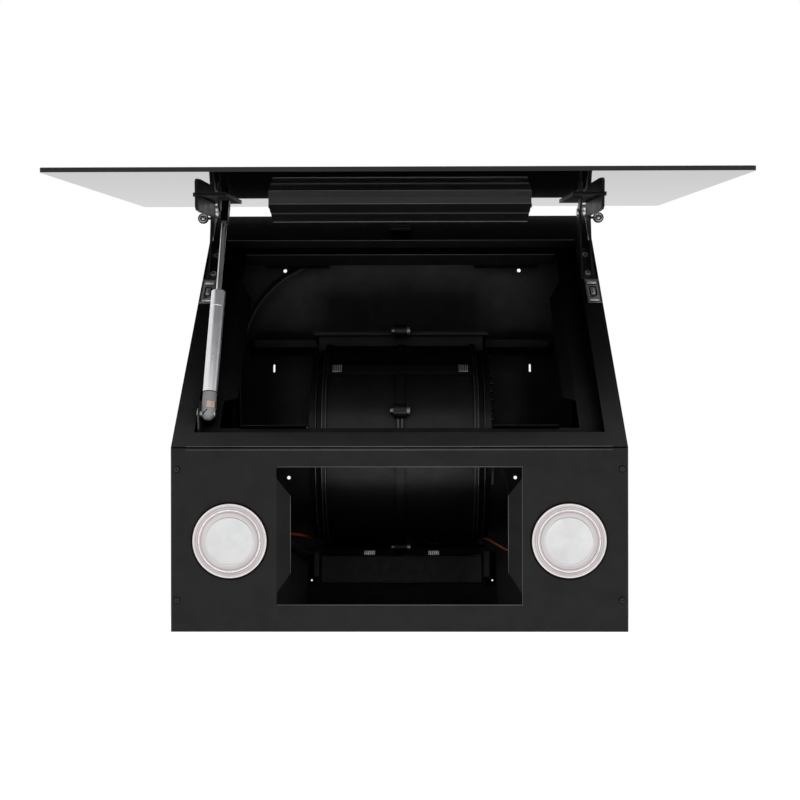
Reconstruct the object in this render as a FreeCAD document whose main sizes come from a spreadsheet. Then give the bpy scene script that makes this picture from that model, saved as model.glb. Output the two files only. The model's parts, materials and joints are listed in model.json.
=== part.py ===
import FreeCAD, Part
import math
import os
import Sketcher

# An inclined 60 cm wall hood, its glass panel lifted on its gas strut and both grease filters out.
# Row frame: +Z up, +Y into the wall, +X to the right of someone facing the hood.
# The wall is the plane Y = 0 and the origin lies midway between the two hanging holes.

SIZES = {
    # Carcass
    "sheet": 1.0,
    "body_width": 440.0,
    "body_height": 475.5,
    "bottom_depth": 360.0,
    "nose_height": 175.3,
    "nose_reach": 27.8,
    "top_depth": 170.4,
    "corner_gap": 1.5,
    "overrun": 2.0,
    "touch_gap": 0.3,
    "running_gap": 0.05,
    "flange_depth": 12.0,
    # Back panel
    "hang_drop": 20.5,
    "hang_spacing": 307.5,
    "hang_radius": 2.4,
    "slot_drop": 130.5,
    "slot_spacing": 332.0,
    "slot_width": 2.4,
    "slot_length": 10.5,
    "mid_hole_height": 182.0,
    "mid_hole_spacing": 290.0,
    "mid_hole_radius": 2.2,
    "low_hole_height": 52.0,
    "low_hole_spacing": 228.0,
    "low_hole_radius": 2.2,
    "ledge_drop": 112.5,
    "ledge_half": 196.0,
    "ledge_depth": 44.0,
    "ledge_lip": 10.0,
    "ledge_chamfer": 10.0,
    "tab_inner": 94.0,
    "tab_outer": 181.0,
    "tab_depth": 24.0,
    "tab_drop": 18.0,
    "tab_chamfer": 8.0,
    # Upper face
    "recess_half": 200.0,
    "recess_low": 20.0,
    "recess_top_drop": 46.65,
    "recess_depth": 11.0,
    "stop_drop": 27.2,
    "stop_radius": 3.2,
    "stop_half": 11.5,
    "upper_opening_half": 178.0,
    "upper_opening_low": 36.0,
    "upper_opening_drop": 59.65,
    "upper_flap_low": 74.0,
    "upper_flap_drop": 108.65,
    "upper_flap_width": 16.0,
    "upper_top_flange": 14.0,
    "lip_inner": 92.0,
    "lip_outer": 157.0,
    "lip_width": 5.0,
    # Lower panel
    "seam_gap": 2.2,
    "seam_half": 206.0,
    "seam_land": 0.9,
    "lower_opening_half": 118.2,
    "lower_opening_low": 26.0,
    "lower_opening_top_margin": 19.0,
    "lower_flap_width": 17.0,
    "lower_flap_margin": 11.0,
    "panel_screw_half": 214.0,
    "panel_screw_drop": 21.0,
    "panel_screw_pitch": 126.0,
    "panel_hole_radius": 1.9,
    "panel_head_radius": 2.4,
    # Lamps
    "lamp_half": 163.3,
    "lamp_drop": 90.0,
    "lamp_hole_radius": 32.0,
    "bezel_radius": 36.0,
    "bezel_ridge_radius": 30.0,
    "bezel_ridge": 2.6,
    "bezel_rim": 1.2,
    "bezel_collar_radius": 31.7,
    "bezel_collar_depth": 8.0,
    "lens_radius": 23.5,
    "lens_thickness": 2.4,
    "lens_crown": 1.2,
    "lens_seat": 1.2,
    "lamp_can_depth": 16.0,
    "lamp_can_radius": 27.0,
    # Fan
    "fan_back": 164.7,
    "fan_height": 205.0,
    "drum_radius": 113.0,
    "drum_half": 78.5,
    "seam_half": 4.5,
    "seam_height": 1.8,
    "rim_radius": 115.0,
    "rim_width": 5.0,
    "rim_inner_radius": 109.0,
    "cheek_half": 97.0,
    "scroll_wall": 2.0,
    "inlet_radius": 80.0,
    "collar_half": 94.0,
    "collar_front": 14.0,
    "collar_height": 128.0,
    "collar_flange": 6.0,
    "collar_flange_thickness": 4.0,
    "strip_half": 78.0,
    "strip_width": 10.0,
    "strip_height": 5.0,
    "clip_width": 10.0,
    "clip_thickness": 1.2,
    "lug_radius": 7.0,
    "front_lug": 26.0,
    "lug_half": 7.0,
    "bolt_radius": 2.5,
    "bolt_head_radius": 4.5,
    "bolt_head_height": 3.5,
    "impeller_radius": 98.0,
    "impeller_inner_radius": 80.0,
    "impeller_half": 66.0,
    "impeller_ring": 4.0,
    "blade_thickness": 1.2,
    "hub_thickness": 3.0,
    "hub_radius": 14.0,
    "hub_half": 12.0,
    "shaft_radius": 4.0,
    "motor_radius": 46.0,
    "motor_length": 62.0,
    "motor_gap": 8.0,
    "motor_cap_radius": 20.0,
    "motor_cap_length": 12.0,
    "arm_width": 14.0,
    "arm_thickness": 3.0,
    # Outlet
    "outlet_radius": 60.2,
    "outlet_wall": 1.4,
    "outlet_depth": 30.0,
    "socket_depth": 18.0,
    "socket_step": 1.0,
    "outlet_flange": 3.0,
    "outlet_flange_thickness": 2.0,
    "box_drop": 8.0,
    "damper_height": 5.5,
    "damper_clearance": 1.7,
    "damper_thickness": 1.2,
    "damper_stop_width": 4.0,
    "damper_stop_thickness": 1.5,
    "damper_pin_radius": 1.5,
    "damper_knuckle_radius": 3.2,
    "damper_knuckle_width": 12.0,
    "damper_knuckle_half": 40.0,
    # Electronics box
    "ebox_half": 102.0,
    "ebox_low": 15.0,
    "ebox_foot_half": 116.0,
    "ebox_foot_high": 45.0,
    "ebox_high": 95.0,
    "ebox_depth": 56.0,
    "ebox_bevel": 8.0,
    "ebox_ear": 17.0,
    "ebox_ear_low": 44.0,
    "ebox_ear_high": 88.0,
    "ebox_ear_thickness": 2.0,
    "lid_half": 97.0,
    "lid_low": 49.0,
    "lid_high": 82.0,
    "lid_thickness": 3.0,
    "latch_spacing": 78.0,
    "latch_width": 13.0,
    "latch_height": 5.0,
    "latch_thickness": 3.0,
    "pull_half": 24.0,
    "pull_height": 4.0,
    # Glass panel
    "glass_width": 600.0,
    "glass_length": 404.0,
    "glass_thickness": 4.0,
    "glass_corner": 4.0,
    "pivot_drop": 42.85,
    "pivot_off_face": 35.9,
    "pivot_from_rear": 45.1,
    "pivot_below_glass": 10.5,
    # Touch-control box on the glass
    "touch_half": 139.0,
    "touch_front": 137.0,
    "touch_rear": 100.0,
    "touch_front_drop": 7.0,
    "touch_step_back": 17.0,
    "touch_step_drop": 15.0,
    "touch_cover_drop": 24.0,
    "touch_cover_inset": 0.6,
    "touch_cover_step": 1.5,
    "touch_nub_radius": 2.5,
    "touch_nub_height": 3.0,
    # Glass brackets
    "bracket_front": 182.0,
    "bracket_rear": 36.0,
    "bracket_thickness": 2.0,
    "bracket_outer": 212.0,
    "bracket_inner": 179.0,
    "leg_centre": 207.5,
    "leg_thickness": 3.0,
    "leg_drop": 17.0,
    "leg_corner": 6.0,
    "strut_tab_gap": 2.2,
    "strut_tab_half": 9.0,
    "strut_tab_drop": 15.0,
    "fin_reach": 14.0,
    "fin_length": 120.0,
    # Hinge arms
    "arm_outer": 214.0,
    "arm_inner": 201.0,
    "cheek_thickness": 2.0,
    "arm_base_low_drop": 117.65,
    "arm_base_high_drop": 64.65,
    "arm_base_outer": 217.0,
    "arm_base_inner": 200.0,
    "arm_boss_radius": 8.0,
    "arm_root_drop": 112.65,
    "arm_root_height": 5.0,
    "arm_knee_height": 22.0,
    "pin_radius": 3.0,
    "pin_head_radius": 4.4,
    "pin_head_height": 1.6,
    "eye_radius": 6.0,
    "eye_hole_radius": 2.2,
    "eye_thickness": 2.0,
    "eye_offset": 6.0,
    "eye_side": 223.6,
    "eye_neck_half": 1.2,
    "plate_low_drop": 157.65,
    "plate_high_drop": 118.15,
    "plate_outer": 218.5,
    "plate_inner": 204.0,
    "plate_thickness": 1.2,
    "plate_rib": 1.6,
    "hinge_screw_half": 208.5,
    "hinge_screw_low_drop": 109.65,
    "hinge_screw_high_drop": 77.65,
    "hinge_hole_radius": 2.2,
    # Gas strut
    "strut_low_half": 188.5,
    "strut_low_up": 42.8,
    "strut_low_off": 3.1,
    "strut_top_half": 182.5,
    "strut_top_from_rear": 145.2,
    "strut_top_below": 8.7,
    "strut_barrel_start": 22.0,
    "strut_barrel_end": 132.0,
    "strut_barrel_radius": 7.3,
    "strut_band": 18.0,
    "strut_groove": 0.4,
    "strut_cap_radius": 7.0,
    "strut_bore_start": 36.0,
    "strut_rod_radius": 3.0,
    "strut_rod_start": 92.0,
    "strut_ring_start": 4.5,
    "strut_ring_width": 6.5,
    "strut_ring_radius": 7.25,
    "strut_eye_length": 21.0,
    "strut_eye_radius": 5.2,
    "strut_eye_half": 3.7,
    "strut_socket_radius": 4.2,
    "stud_radius": 3.0,
    "stud_flange_radius": 5.0,
    "stand_thickness": 1.5,
    "stand_low": 21.0,
    "stand_high": 54.0,
    "stand_top": 11.0,
    "stand_foot": 10.0,
    # Cable and wires
    "cable_radius": 2.2,
    "cable_back": 20.0,
    "terminal_outer": 78.0,
    "terminal_inner": 54.0,
    "terminal_drop": 9.0,
    "terminal_back": 6.0,
    "terminal_front": 30.0,
    "gland_side": 66.0,
    "gland_back": 17.0,
    "gland_radius": 8.0,
    "gland_height": 14.0,
    "gland_nut_radius": 11.0,
    "gland_nut_height": 4.0,
    "gland_bore_radius": 3.5,
    "wire_radius": 1.0,
    "lamp_wire_radius": 1.25,
    "screw_radius": 1.7,
    "screw_head_radius": 3.4,
    "screw_head_height": 1.6,
    "screw_length": 7.0,
}

# Counts and shares
BLADES = 38
BLADE_SWEEP_SHARE = 0.62
BLADE_BOW_SHARE = 0.3
HALF = 0.5
# Where the hinge arm's knee lies on the way from its root to the pivot
KNEE_SHARE = 0.487
# How far out the lens stays flat, and how far a rounded end reaches at its shoulder
LENS_FLAT_SHARE = 0.7
SHOULDER_SHARE = 0.86
# Share of the shorter run that a bend takes up
BEND_SHARE = 0.45
# How closely an edge follows an axis, and a tube's volume what it should be
PARALLEL_SHARE = 0.999999
VOLUME_SHARE = 0.01

# How far the lifted glass leans back from level, in degrees
GLASS_SLOPE = 14.04
# Places round the fan's drum, in degrees from its top towards the front
LUG_ANGLES = (79.0, 175.0)
STRIP_ANGLE = 53.0
# The three arms of the motor's bracket
ARM_ANGLES = (90.0, 210.0, 330.0)

# The mains cable's way down, across as a share of the ledge and up as a share of the body
CABLE_SHARES = (
    (-0.50, 0.979),
    (-0.62, 0.961),
    (-0.82, 0.914),
    (-0.97, 0.84),
    (-1.055, 0.74),
    (-1.06, 0.62),
    (-1.04, 0.50),
    (-0.98, 0.39),
    (-0.86, 0.29),
    (-0.72, 0.215),
    (-0.62, 0.18),
)
# The lamp wires: across, back and up as shares of the lamps' place, the depth and the housing's height
LAMP_WIRE_SHARES = {
    "lamp_wire_left": ((0.86, 0.79, 1.07), (0.73, 0.69, 1.05), (0.65, 0.56, 1.045), (0.622, 0.33, 1.04)),
    "lamp_wire_right": ((0.89, 0.79, 0.84), (0.735, 0.53, 0.86), (0.675, 0.39, 0.96), (0.63, 0.25, 1.05)),
}
# Where a lamp wire comes over the housing's front edge: across, back and up
LAMP_MOUTH_SHARES = (0.88, 1.08, 1.08)
# Where wires enter the housing: across, back and above it
WIRE_MOUTH_SHARES = (0.82, 0.85, 1.14)
# The motor's wire: across, back and up as shares of the housing's half, the fan's depth and its height
MOTOR_WIRE_SHARES = ((1.22, 0.86, 0.78), (1.26, 0.62, 0.62), (1.16, 0.40, 0.54))
MOTOR_WIRE_MOUTH_SHARE = 0.95
MOTOR_WIRE_DROP_SHARE = 0.6

doc = FreeCAD.newDocument("hood")
finished = []


class Size:
    """A size from the sheet, or one worked out from such sizes, with the formula that binds it there."""

    def __init__(self, number, formula):
        self.number = number
        self.formula = formula

    def __add__(self, other):
        return combine(self, "+", other)

    def __radd__(self, other):
        return combine(other, "+", self)

    def __sub__(self, other):
        return combine(self, "-", other)

    def __rsub__(self, other):
        return combine(other, "-", self)

    def __mul__(self, other):
        return combine(self, "*", other)

    def __rmul__(self, other):
        return combine(other, "*", self)

    def __truediv__(self, other):
        return combine(self, "/", other)

    def __neg__(self):
        return combine(0, "-", self)


def as_size(value):
    """Turns a plain zero, count or share into a Size."""
    if isinstance(value, Size):
        return value
    return Size(float(value), repr(float(value)))


def combine(left, sign, right):
    """Joins two sizes by a sign, in numbers and in the formula."""
    left = as_size(left)
    right = as_size(right)
    numbers = {
        "+": left.number + right.number,
        "-": left.number - right.number,
        "*": left.number * right.number,
    }
    if sign == "/":
        numbers["/"] = left.number / right.number
    return Size(numbers[sign], "(%s %s %s)" % (left.formula, sign, right.formula))


def root_of_squares(one, two):
    """Length of the diagonal over two sizes at right angles."""
    number = math.hypot(one.number, two.number)
    return Size(number, "sqrt(%s * %s + %s * %s)" % (one.formula, one.formula, two.formula, two.formula))


class Names:
    """Holds every named size as an attribute."""


def fill_sheet():
    """Writes the driving dimensions into the sheet and returns them by name."""
    sheet = doc.addObject("Spreadsheet::Sheet", "Sizes")
    for row, (name, value) in enumerate(SIZES.items(), start=1):
        sheet.set("A%d" % row, name)
        sheet.set("B%d" % row, str(value))
        sheet.setAlias("B%d" % row, name)
    doc.recompute()
    names = Names()
    for name in SIZES:
        setattr(names, name, Size(float(sheet.get(name)), "Sizes." + name))
    return names


s = fill_sheet()


# Frames

def vector(x=0, y=0, z=0):
    """A vector from sizes or plain numbers."""
    return FreeCAD.Vector(as_size(x).number, as_size(y).number, as_size(z).number)


def shifted(frame, x=0, y=0, z=0):
    """The frame moved along its own axes."""
    return frame.multiply(FreeCAD.Placement(vector(x, y, z), FreeCAD.Rotation()))


def turned(frame, axis, degrees):
    """The frame turned about an axis through its own origin."""
    return frame.multiply(FreeCAD.Placement(FreeCAD.Vector(), FreeCAD.Rotation(axis, degrees)))


AXIS_X = FreeCAD.Vector(1, 0, 0)
AXIS_Y = FreeCAD.Vector(0, 1, 0)
AXIS_Z = FreeCAD.Vector(0, 0, 1)
# Turns a frame so that its own Z runs along the old X, its X along the old Y and its Y along the old Z.
SIDEWAYS = FreeCAD.Placement(FreeCAD.Vector(), FreeCAD.Rotation(AXIS_Y, AXIS_Z, AXIS_X, "XYZ"))
# Turns a frame so that its own X stays, its Y runs up and its Z runs out of the wall.
FACING = FreeCAD.Placement(FreeCAD.Vector(), FreeCAD.Rotation(AXIS_X, AXIS_Z, -AXIS_Y, "XYZ"))


def slope_of(run, rise):
    """Angle in degrees of a line with this run and rise."""
    return math.degrees(math.atan2(as_size(rise).number, as_size(run).number))


hang_height = s.body_height - s.hang_drop
slot_height = hang_height - s.slot_drop
ledge_height = hang_height - s.ledge_drop
half_width = s.body_width / 2
inner_half = half_width - s.sheet
lower_length = root_of_squares(s.nose_reach, s.nose_height)
upper_run = s.bottom_depth + s.nose_reach - s.top_depth
upper_rise = s.body_height - s.nose_height
upper_length = root_of_squares(upper_run, upper_rise)
upper_slope = slope_of(upper_run, upper_rise)
lower_slope = slope_of(-s.nose_reach, s.nose_height)
# Height of the round outlet's middle above the fan's axis
outlet_up = (s.collar_height - s.box_drop) / 2
# Places up the sloping face, measured down from its top edge
recess_high = upper_length - s.recess_top_drop
opening_high = upper_length - s.upper_opening_drop
pivot_up = upper_length - s.pivot_drop
hinge_screw_places = (upper_length - s.hinge_screw_low_drop, upper_length - s.hinge_screw_high_drop)

BASE = FreeCAD.Placement(vector(0, 0, -hang_height), FreeCAD.Rotation())
BACK = BASE.multiply(FACING)
LOWER = turned(shifted(BASE, 0, -s.bottom_depth, 0), AXIS_X, lower_slope)
UPPER = turned(shifted(BASE, 0, -s.bottom_depth - s.nose_reach, s.nose_height), AXIS_X, upper_slope)
PIVOT = shifted(UPPER, 0, pivot_up, s.pivot_off_face)
GLASS = shifted(turned(PIVOT, AXIS_X, GLASS_SLOPE - upper_slope), 0, s.pivot_from_rear, s.pivot_below_glass)
# The outlet's frame has its X up, its Y to the right and its Z into the wall.
INTO_WALL = FreeCAD.Placement(FreeCAD.Vector(), FreeCAD.Rotation(AXIS_Z, AXIS_X, AXIS_Y, "XYZ"))
OUTLET = shifted(BASE, 0, -s.outlet_depth, s.fan_height + outlet_up).multiply(INTO_WALL)
FAN = shifted(BASE, 0, -s.fan_back, s.fan_height).multiply(SIDEWAYS)


# Sketches and features bound to the sheet

def bind(item, place, size):
    """Binds one property to its formula."""
    item.setExpression(place, as_size(size).formula)


def new_body(label, frame):
    """An empty body that lies in the given frame."""
    body = doc.addObject("PartDesign::Body", label)
    body.Label = label
    body.Placement = frame
    finished.append(body)
    return body


def sketch_on(body, plane, start, seat=None):
    """A sketch on one of the body's origin planes, raised by start along its normal."""
    sketch = body.newObject("Sketcher::SketchObject", body.Name + "_sketch")
    support = [item for item in body.Origin.OriginFeatures if item.Role == plane][0]
    sketch.AttachmentSupport = [(support, "")]
    sketch.MapMode = "FlatFace"
    if seat is None:
        sketch.AttachmentOffset = FreeCAD.Placement(vector(0, 0, start), FreeCAD.Rotation())
        bind(sketch, "AttachmentOffset.Base.z", start)
    else:
        sketch.AttachmentOffset = shifted(seat, 0, 0, start)
    return sketch


def add_rules(sketch, rules):
    """Adds constraints and binds each that carries a size. A rule is a list that ends in its size or None."""
    made = []
    for rule in rules:
        if rule[-1] is None:
            made.append(Sketcher.Constraint(*rule[:-1]))
        else:
            made.append(Sketcher.Constraint(*rule[:-1], rule[-1].number))
    places = sketch.addConstraint(made)
    for place, rule in zip(places, rules):
        if rule[-1] is not None:
            bind(sketch, "Constraints[%d]" % place, rule[-1])


def place_rules(item, point, x, y):
    """Rules that hold a point at its place from the sketch's origin."""
    return [
        ["DistanceX", -1, 1, item, point, as_size(x)],
        ["DistanceY", -1, 1, item, point, as_size(y)],
    ]


def draw_outline(sketch, points):
    """Draws a closed outline of straight lines through the points."""
    first = sketch.GeometryCount
    corners = [vector(x, y) for x, y in points]
    lines = [Part.LineSegment(a, b) for a, b in zip(corners, corners[1:] + corners[:1])]
    sketch.addGeometry(lines, False)
    count = len(points)
    rules = [["Coincident", first + n, 2, first + (n + 1) % count, 1, None] for n in range(count)]
    for n, (x, y) in enumerate(points):
        rules += place_rules(first + n, 1, x, y)
    add_rules(sketch, rules)


def draw_circle(sketch, x, y, radius):
    """Draws a circle held at its centre."""
    item = sketch.addGeometry(Part.Circle(vector(x, y), AXIS_Z, as_size(radius).number), False)
    add_rules(sketch, place_rules(item, 3, x, y) + [["Radius", item, as_size(radius)]])


def draw_slot(sketch, x, y, width, length):
    """Draws an upright slot with round ends."""
    first = sketch.GeometryCount
    radius = width / 2
    reach = length / 2 - radius
    top = vector(x, y + reach)
    foot = vector(x, y - reach)
    sketch.addGeometry([
        Part.ArcOfCircle(Part.Circle(top, AXIS_Z, radius.number), 0, math.pi),
        Part.ArcOfCircle(Part.Circle(foot, AXIS_Z, radius.number), math.pi, 2 * math.pi),
        Part.LineSegment(vector(x - radius, y + reach), vector(x - radius, y - reach)),
        Part.LineSegment(vector(x + radius, y - reach), vector(x + radius, y + reach)),
    ], False)
    add_rules(sketch, [
        ["Tangent", first, 2, first + 2, 1, None],
        ["Tangent", first + 2, 2, first + 1, 1, None],
        ["Tangent", first + 1, 2, first + 3, 1, None],
        ["Tangent", first + 3, 2, first, 1, None],
        ["Radius", first, radius],
    ] + place_rules(first, 3, x, y + reach) + place_rules(first + 1, 3, x, y - reach))


def draw_loops(sketch, loops):
    """Draws every loop: a list of points, or a circle or slot by its name and sizes."""
    for loop in loops:
        if loop[0] == "circle":
            draw_circle(sketch, *loop[1:])
        elif loop[0] == "slot":
            draw_slot(sketch, *loop[1:])
        else:
            draw_outline(sketch, loop)


def rectangle(x_low, x_high, y_low, y_high):
    """The four corners of a rectangle."""
    return [(x_low, y_low), (x_high, y_low), (x_high, y_high), (x_low, y_high)]


def circle(x, y, radius):
    """A circle as a loop."""
    return ("circle", x, y, radius)


def slot(x, y, width, length):
    """An upright slot as a loop."""
    return ("slot", x, y, width, length)


def pad(body, loops, start, length, plane="XY_Plane", seat=None):
    """Adds material from start over length along the plane's normal."""
    sketch = sketch_on(body, plane, as_size(start), seat)
    draw_loops(sketch, loops)
    feature = body.newObject("PartDesign::Pad", body.Name + "_pad")
    feature.Profile = sketch
    bind(feature, "Length", length)
    doc.recompute()
    return feature


def cut(body, loops, start, length, plane="XY_Plane", seat=None):
    """Takes material away from start over length along the plane's normal."""
    before = body.Shape.Volume
    sketch = sketch_on(body, plane, as_size(start), seat)
    draw_loops(sketch, loops)
    feature = body.newObject("PartDesign::Pocket", body.Name + "_pocket")
    feature.Profile = sketch
    feature.Reversed = True
    bind(feature, "Length", length)
    doc.recompute()
    if not body.Shape.Volume < before:
        raise ValueError("a pocket in %s takes nothing away" % body.Label)
    return feature


def spin(body, points, kind="Revolution", angle=360.0):
    """Turns an outline of (radius, height) points about the body's Z axis, to add or, as a Groove, to cut."""
    before = body.Shape.Volume if kind == "Groove" else 0.0
    sketch = sketch_on(body, "XZ_Plane", as_size(0))
    draw_outline(sketch, points)
    feature = body.newObject("PartDesign::" + kind, body.Name + "_" + kind.lower())
    feature.Profile = sketch
    feature.ReferenceAxis = (sketch, ["V_Axis"])
    feature.Angle = angle
    doc.recompute()
    if kind == "Groove" and not body.Shape.Volume < before:
        raise ValueError("a groove in %s takes nothing away" % body.Label)
    return feature


def soften(body, kind, size, chosen):
    """Fillets or chamfers the edges that chosen picks from the body's own coordinates."""
    base = body.Tip
    names = ["Edge%d" % n for n, edge in enumerate(base.Shape.Edges, start=1) if chosen(edge)]
    if not names:
        raise ValueError("no edge to soften on " + body.Label)
    feature = body.newObject("PartDesign::" + kind, body.Name + "_" + kind.lower())
    feature.Base = (base, names)
    bind(feature, "Radius" if kind == "Fillet" else "Size", size)
    doc.recompute()
    return feature


def runs_along(edge, axis):
    """Says whether a straight edge is parallel to the axis."""
    if len(edge.Vertexes) != 2 or not isinstance(edge.Curve, Part.Line):
        return False
    way = edge.Vertexes[1].Point - edge.Vertexes[0].Point
    return way.Length > 0 and abs(way.normalize().dot(axis)) > PARALLEL_SHARE


def group(label, pieces):
    """Several like solids under one name."""
    compound = doc.addObject("Part::Compound", label)
    compound.Label = label
    compound.Links = pieces
    finished.append(compound)
    return compound


def screw(name, frame, length, radius, head_radius, head_height):
    """One screw: its head stands on the frame's XY plane and its shank goes down."""
    head = doc.addObject("Part::Cylinder", name + "_head")
    bind(head, "Radius", head_radius)
    bind(head, "Height", head_height)
    head.Placement = frame
    shank = doc.addObject("Part::Cylinder", name + "_shank")
    bind(shank, "Radius", radius)
    bind(shank, "Height", length)
    shank.Placement = shifted(frame, 0, 0, -length)
    whole = doc.addObject("Part::Fuse", name)
    whole.Base = head
    whole.Tool = shank
    return whole


def plain_screw(name, frame):
    """One of the small self-tapping screws."""
    return screw(name, frame, s.screw_length, s.screw_radius, s.screw_head_radius, s.screw_head_height)


# Carcass

def side_panels():
    """The two flat sides, each the shape of the hood's profile."""
    profile = [
        (0, 0),
        (-s.bottom_depth, 0),
        (-(s.bottom_depth + s.nose_reach), s.nose_height),
        (-s.top_depth, s.body_height),
        (0, s.body_height),
    ]
    for name, start in (("side_left", -half_width), ("side_right", inner_half)):
        body = new_body(name, BASE)
        pad(body, [profile], start, s.sheet, "YZ_Plane")


def back_panel():
    """The back sheet with its hanging holes, slots and screw holes and the round outlet."""
    body = new_body("back_panel", BACK)
    loops = [rectangle(-inner_half, inner_half, 0, s.body_height)]
    for side in (-1, 1):
        loops.append(circle(side * s.hang_spacing / 2, hang_height, s.hang_radius))
        loops.append(slot(side * s.slot_spacing / 2, slot_height, s.slot_width, s.slot_length))
        loops.append(circle(side * s.mid_hole_spacing / 2, s.mid_hole_height, s.mid_hole_radius))
        loops.append(circle(side * s.low_hole_spacing / 2, s.low_hole_height, s.low_hole_radius))
    loops.append(circle(0, s.fan_height + outlet_up, s.outlet_radius + s.outlet_wall + s.running_gap))
    pad(body, loops, 0, s.sheet)


def top_panel():
    """The top sheet with the hole for the mains lead and a fold behind its front edge."""
    body = new_body("top_panel", BASE)
    front = s.top_depth - s.corner_gap
    top = s.body_height - s.sheet
    loops = [
        rectangle(-inner_half, inner_half, -front, -s.sheet),
        circle(-s.gland_side, -s.gland_back, s.gland_bore_radius),
    ]
    pad(body, loops, top, s.sheet)
    fold = front - s.flange_depth
    pad(body, [rectangle(-s.recess_half, s.recess_half, -fold, -fold + s.sheet)], top - s.flange_depth,
        s.flange_depth)


def bottom_panel():
    """The bottom sheet with upturned edges along the sides."""
    body = new_body("bottom_panel", BASE)
    front = s.bottom_depth - s.corner_gap
    pad(body, [rectangle(-inner_half, inner_half, -front, -s.sheet)], 0, s.sheet)
    for side in (-1, 1):
        edge = sorted((side * inner_half, side * (inner_half - s.sheet)), key=lambda size: size.number)
        loop = rectangle(edge[0], edge[1], -front + s.flange_depth, -s.sheet - s.flange_depth)
        pad(body, [loop], s.sheet, s.flange_depth)


def rear_ledge():
    """The channel across the back wall that carries the fan."""
    body = new_body("rear_ledge", BACK)
    front = s.sheet + s.ledge_depth
    web = rectangle(-s.ledge_half, s.ledge_half, ledge_height, ledge_height + s.sheet)
    pad(body, [web], s.sheet, s.ledge_depth)
    lip = [
        (-s.ledge_half, ledge_height),
        (s.ledge_half, ledge_height),
        (s.ledge_half, ledge_height + s.ledge_lip),
        (-s.ledge_half, ledge_height + s.ledge_lip),
    ]
    pad(body, [lip], front - s.sheet, s.sheet)
    pad(body, [lip], s.sheet, s.sheet)
    for side in (-1, 1):
        corner = [
            (side * s.ledge_half, front),
            (side * (s.ledge_half - s.ledge_chamfer), front),
            (side * s.ledge_half, front - s.ledge_chamfer),
        ]
        cut(body, [corner], -ledge_height - s.ledge_lip, s.ledge_lip, "XZ_Plane")


def hanging_tabs():
    """The folded angles under the top sheet at the hanging holes."""
    for name, side in (("hanging_tab_left", -1), ("hanging_tab_right", 1)):
        body = new_body(name, BACK)
        top = s.body_height - s.sheet
        low = top - s.tab_drop
        face = [
            (side * s.tab_inner, low),
            (side * (s.tab_outer - s.tab_chamfer), low),
            (side * s.tab_outer, low + s.tab_chamfer),
            (side * s.tab_outer, top),
            (side * s.tab_inner, top),
        ]
        pad(body, [face], s.tab_depth, s.sheet)
        bend = [
            (side * s.tab_inner, top - s.sheet),
            (side * s.tab_outer, top - s.sheet),
            (side * s.tab_outer, top),
            (side * s.tab_inner, top),
        ]
        pad(body, [bend], s.sheet, s.tab_depth - s.sheet)


# Faces with their openings

def flap_seat(side, half):
    """Seat of a flap that leans inwards at 45 degrees from the side edge of an opening."""
    lean = math.sqrt(HALF)
    across = FreeCAD.Vector(-side * lean, 0, -lean)
    normal = AXIS_Y.cross(across)
    return FreeCAD.Placement(vector(side * half, 0, 0), FreeCAD.Rotation(AXIS_Y, across, normal, "XYZ"))


def side_flap(body, side, half, span, width, level=0):
    """A folded flap over a span up the side of an opening, with its two ends cut at 45 degrees."""
    low, high = span
    outline = [(low, 0), (high, 0), (high - width, width), (low + width, width)]
    start = -s.sheet if side > 0 else as_size(0)
    seat = FreeCAD.Placement(vector(0, 0, level), FreeCAD.Rotation()).multiply(flap_seat(side, half))
    pad(body, [outline], start, s.sheet, seat=seat)


def upper_frame():
    """The sloping front frame: a sunk tray round the upper filter opening."""
    body = new_body("upper_frame", UPPER)
    tray_half = s.recess_half + s.sheet
    floor = s.recess_depth + s.sheet
    pad(body, [rectangle(-inner_half, inner_half, s.seam_land, upper_length)], -s.sheet, s.sheet)
    tray = rectangle(-tray_half, tray_half, s.recess_low - s.sheet, recess_high + s.sheet)
    pad(body, [tray], -floor, floor - s.sheet * HALF)
    cut(body, [rectangle(-s.recess_half, s.recess_half, s.recess_low, recess_high)], -s.recess_depth,
        s.recess_depth + s.overrun)
    opening = rectangle(-s.upper_opening_half, s.upper_opening_half, s.upper_opening_low, opening_high)
    cut(body, [opening], -floor - s.overrun, floor + s.overrun)
    for side in (-1, 1):
        flap_span = (s.upper_flap_low, upper_length - s.upper_flap_drop)
        side_flap(body, side, s.upper_opening_half, flap_span, s.upper_flap_width,
                  -s.recess_depth)
        lip = sorted((side * s.lip_inner, side * s.lip_outer), key=lambda size: size.number)
        low = s.upper_opening_low
        edge = rectangle(lip[0], lip[1], low - s.sheet, low)
        pad(body, [edge], -s.recess_depth - s.sheet * HALF, s.lip_width)
    top_flange = rectangle(-s.upper_opening_half, s.upper_opening_half, opening_high,
                           opening_high + s.sheet)
    pad(body, [top_flange], -floor - s.upper_top_flange, s.upper_top_flange + s.sheet * HALF)
    for side in (-1, 1):
        for place in hinge_screw_places:
            cut(body, [circle(side * s.hinge_screw_half, place, s.hinge_hole_radius)], -s.sheet - s.overrun,
                s.sheet + 2 * s.overrun)


def frame_stop():
    """The round stop that lies across the frame's upper strip, at its middle."""
    seat = shifted(UPPER, 0, upper_length - s.stop_drop, s.stop_radius).multiply(SIDEWAYS)
    stop = doc.addObject("Part::Cylinder", "frame_stop")
    stop.Label = "frame_stop"
    bind(stop, "Radius", s.stop_radius)
    bind(stop, "Height", 2 * s.stop_half)
    stop.Placement = shifted(seat, 0, 0, -s.stop_half)
    finished.append(stop)


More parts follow.
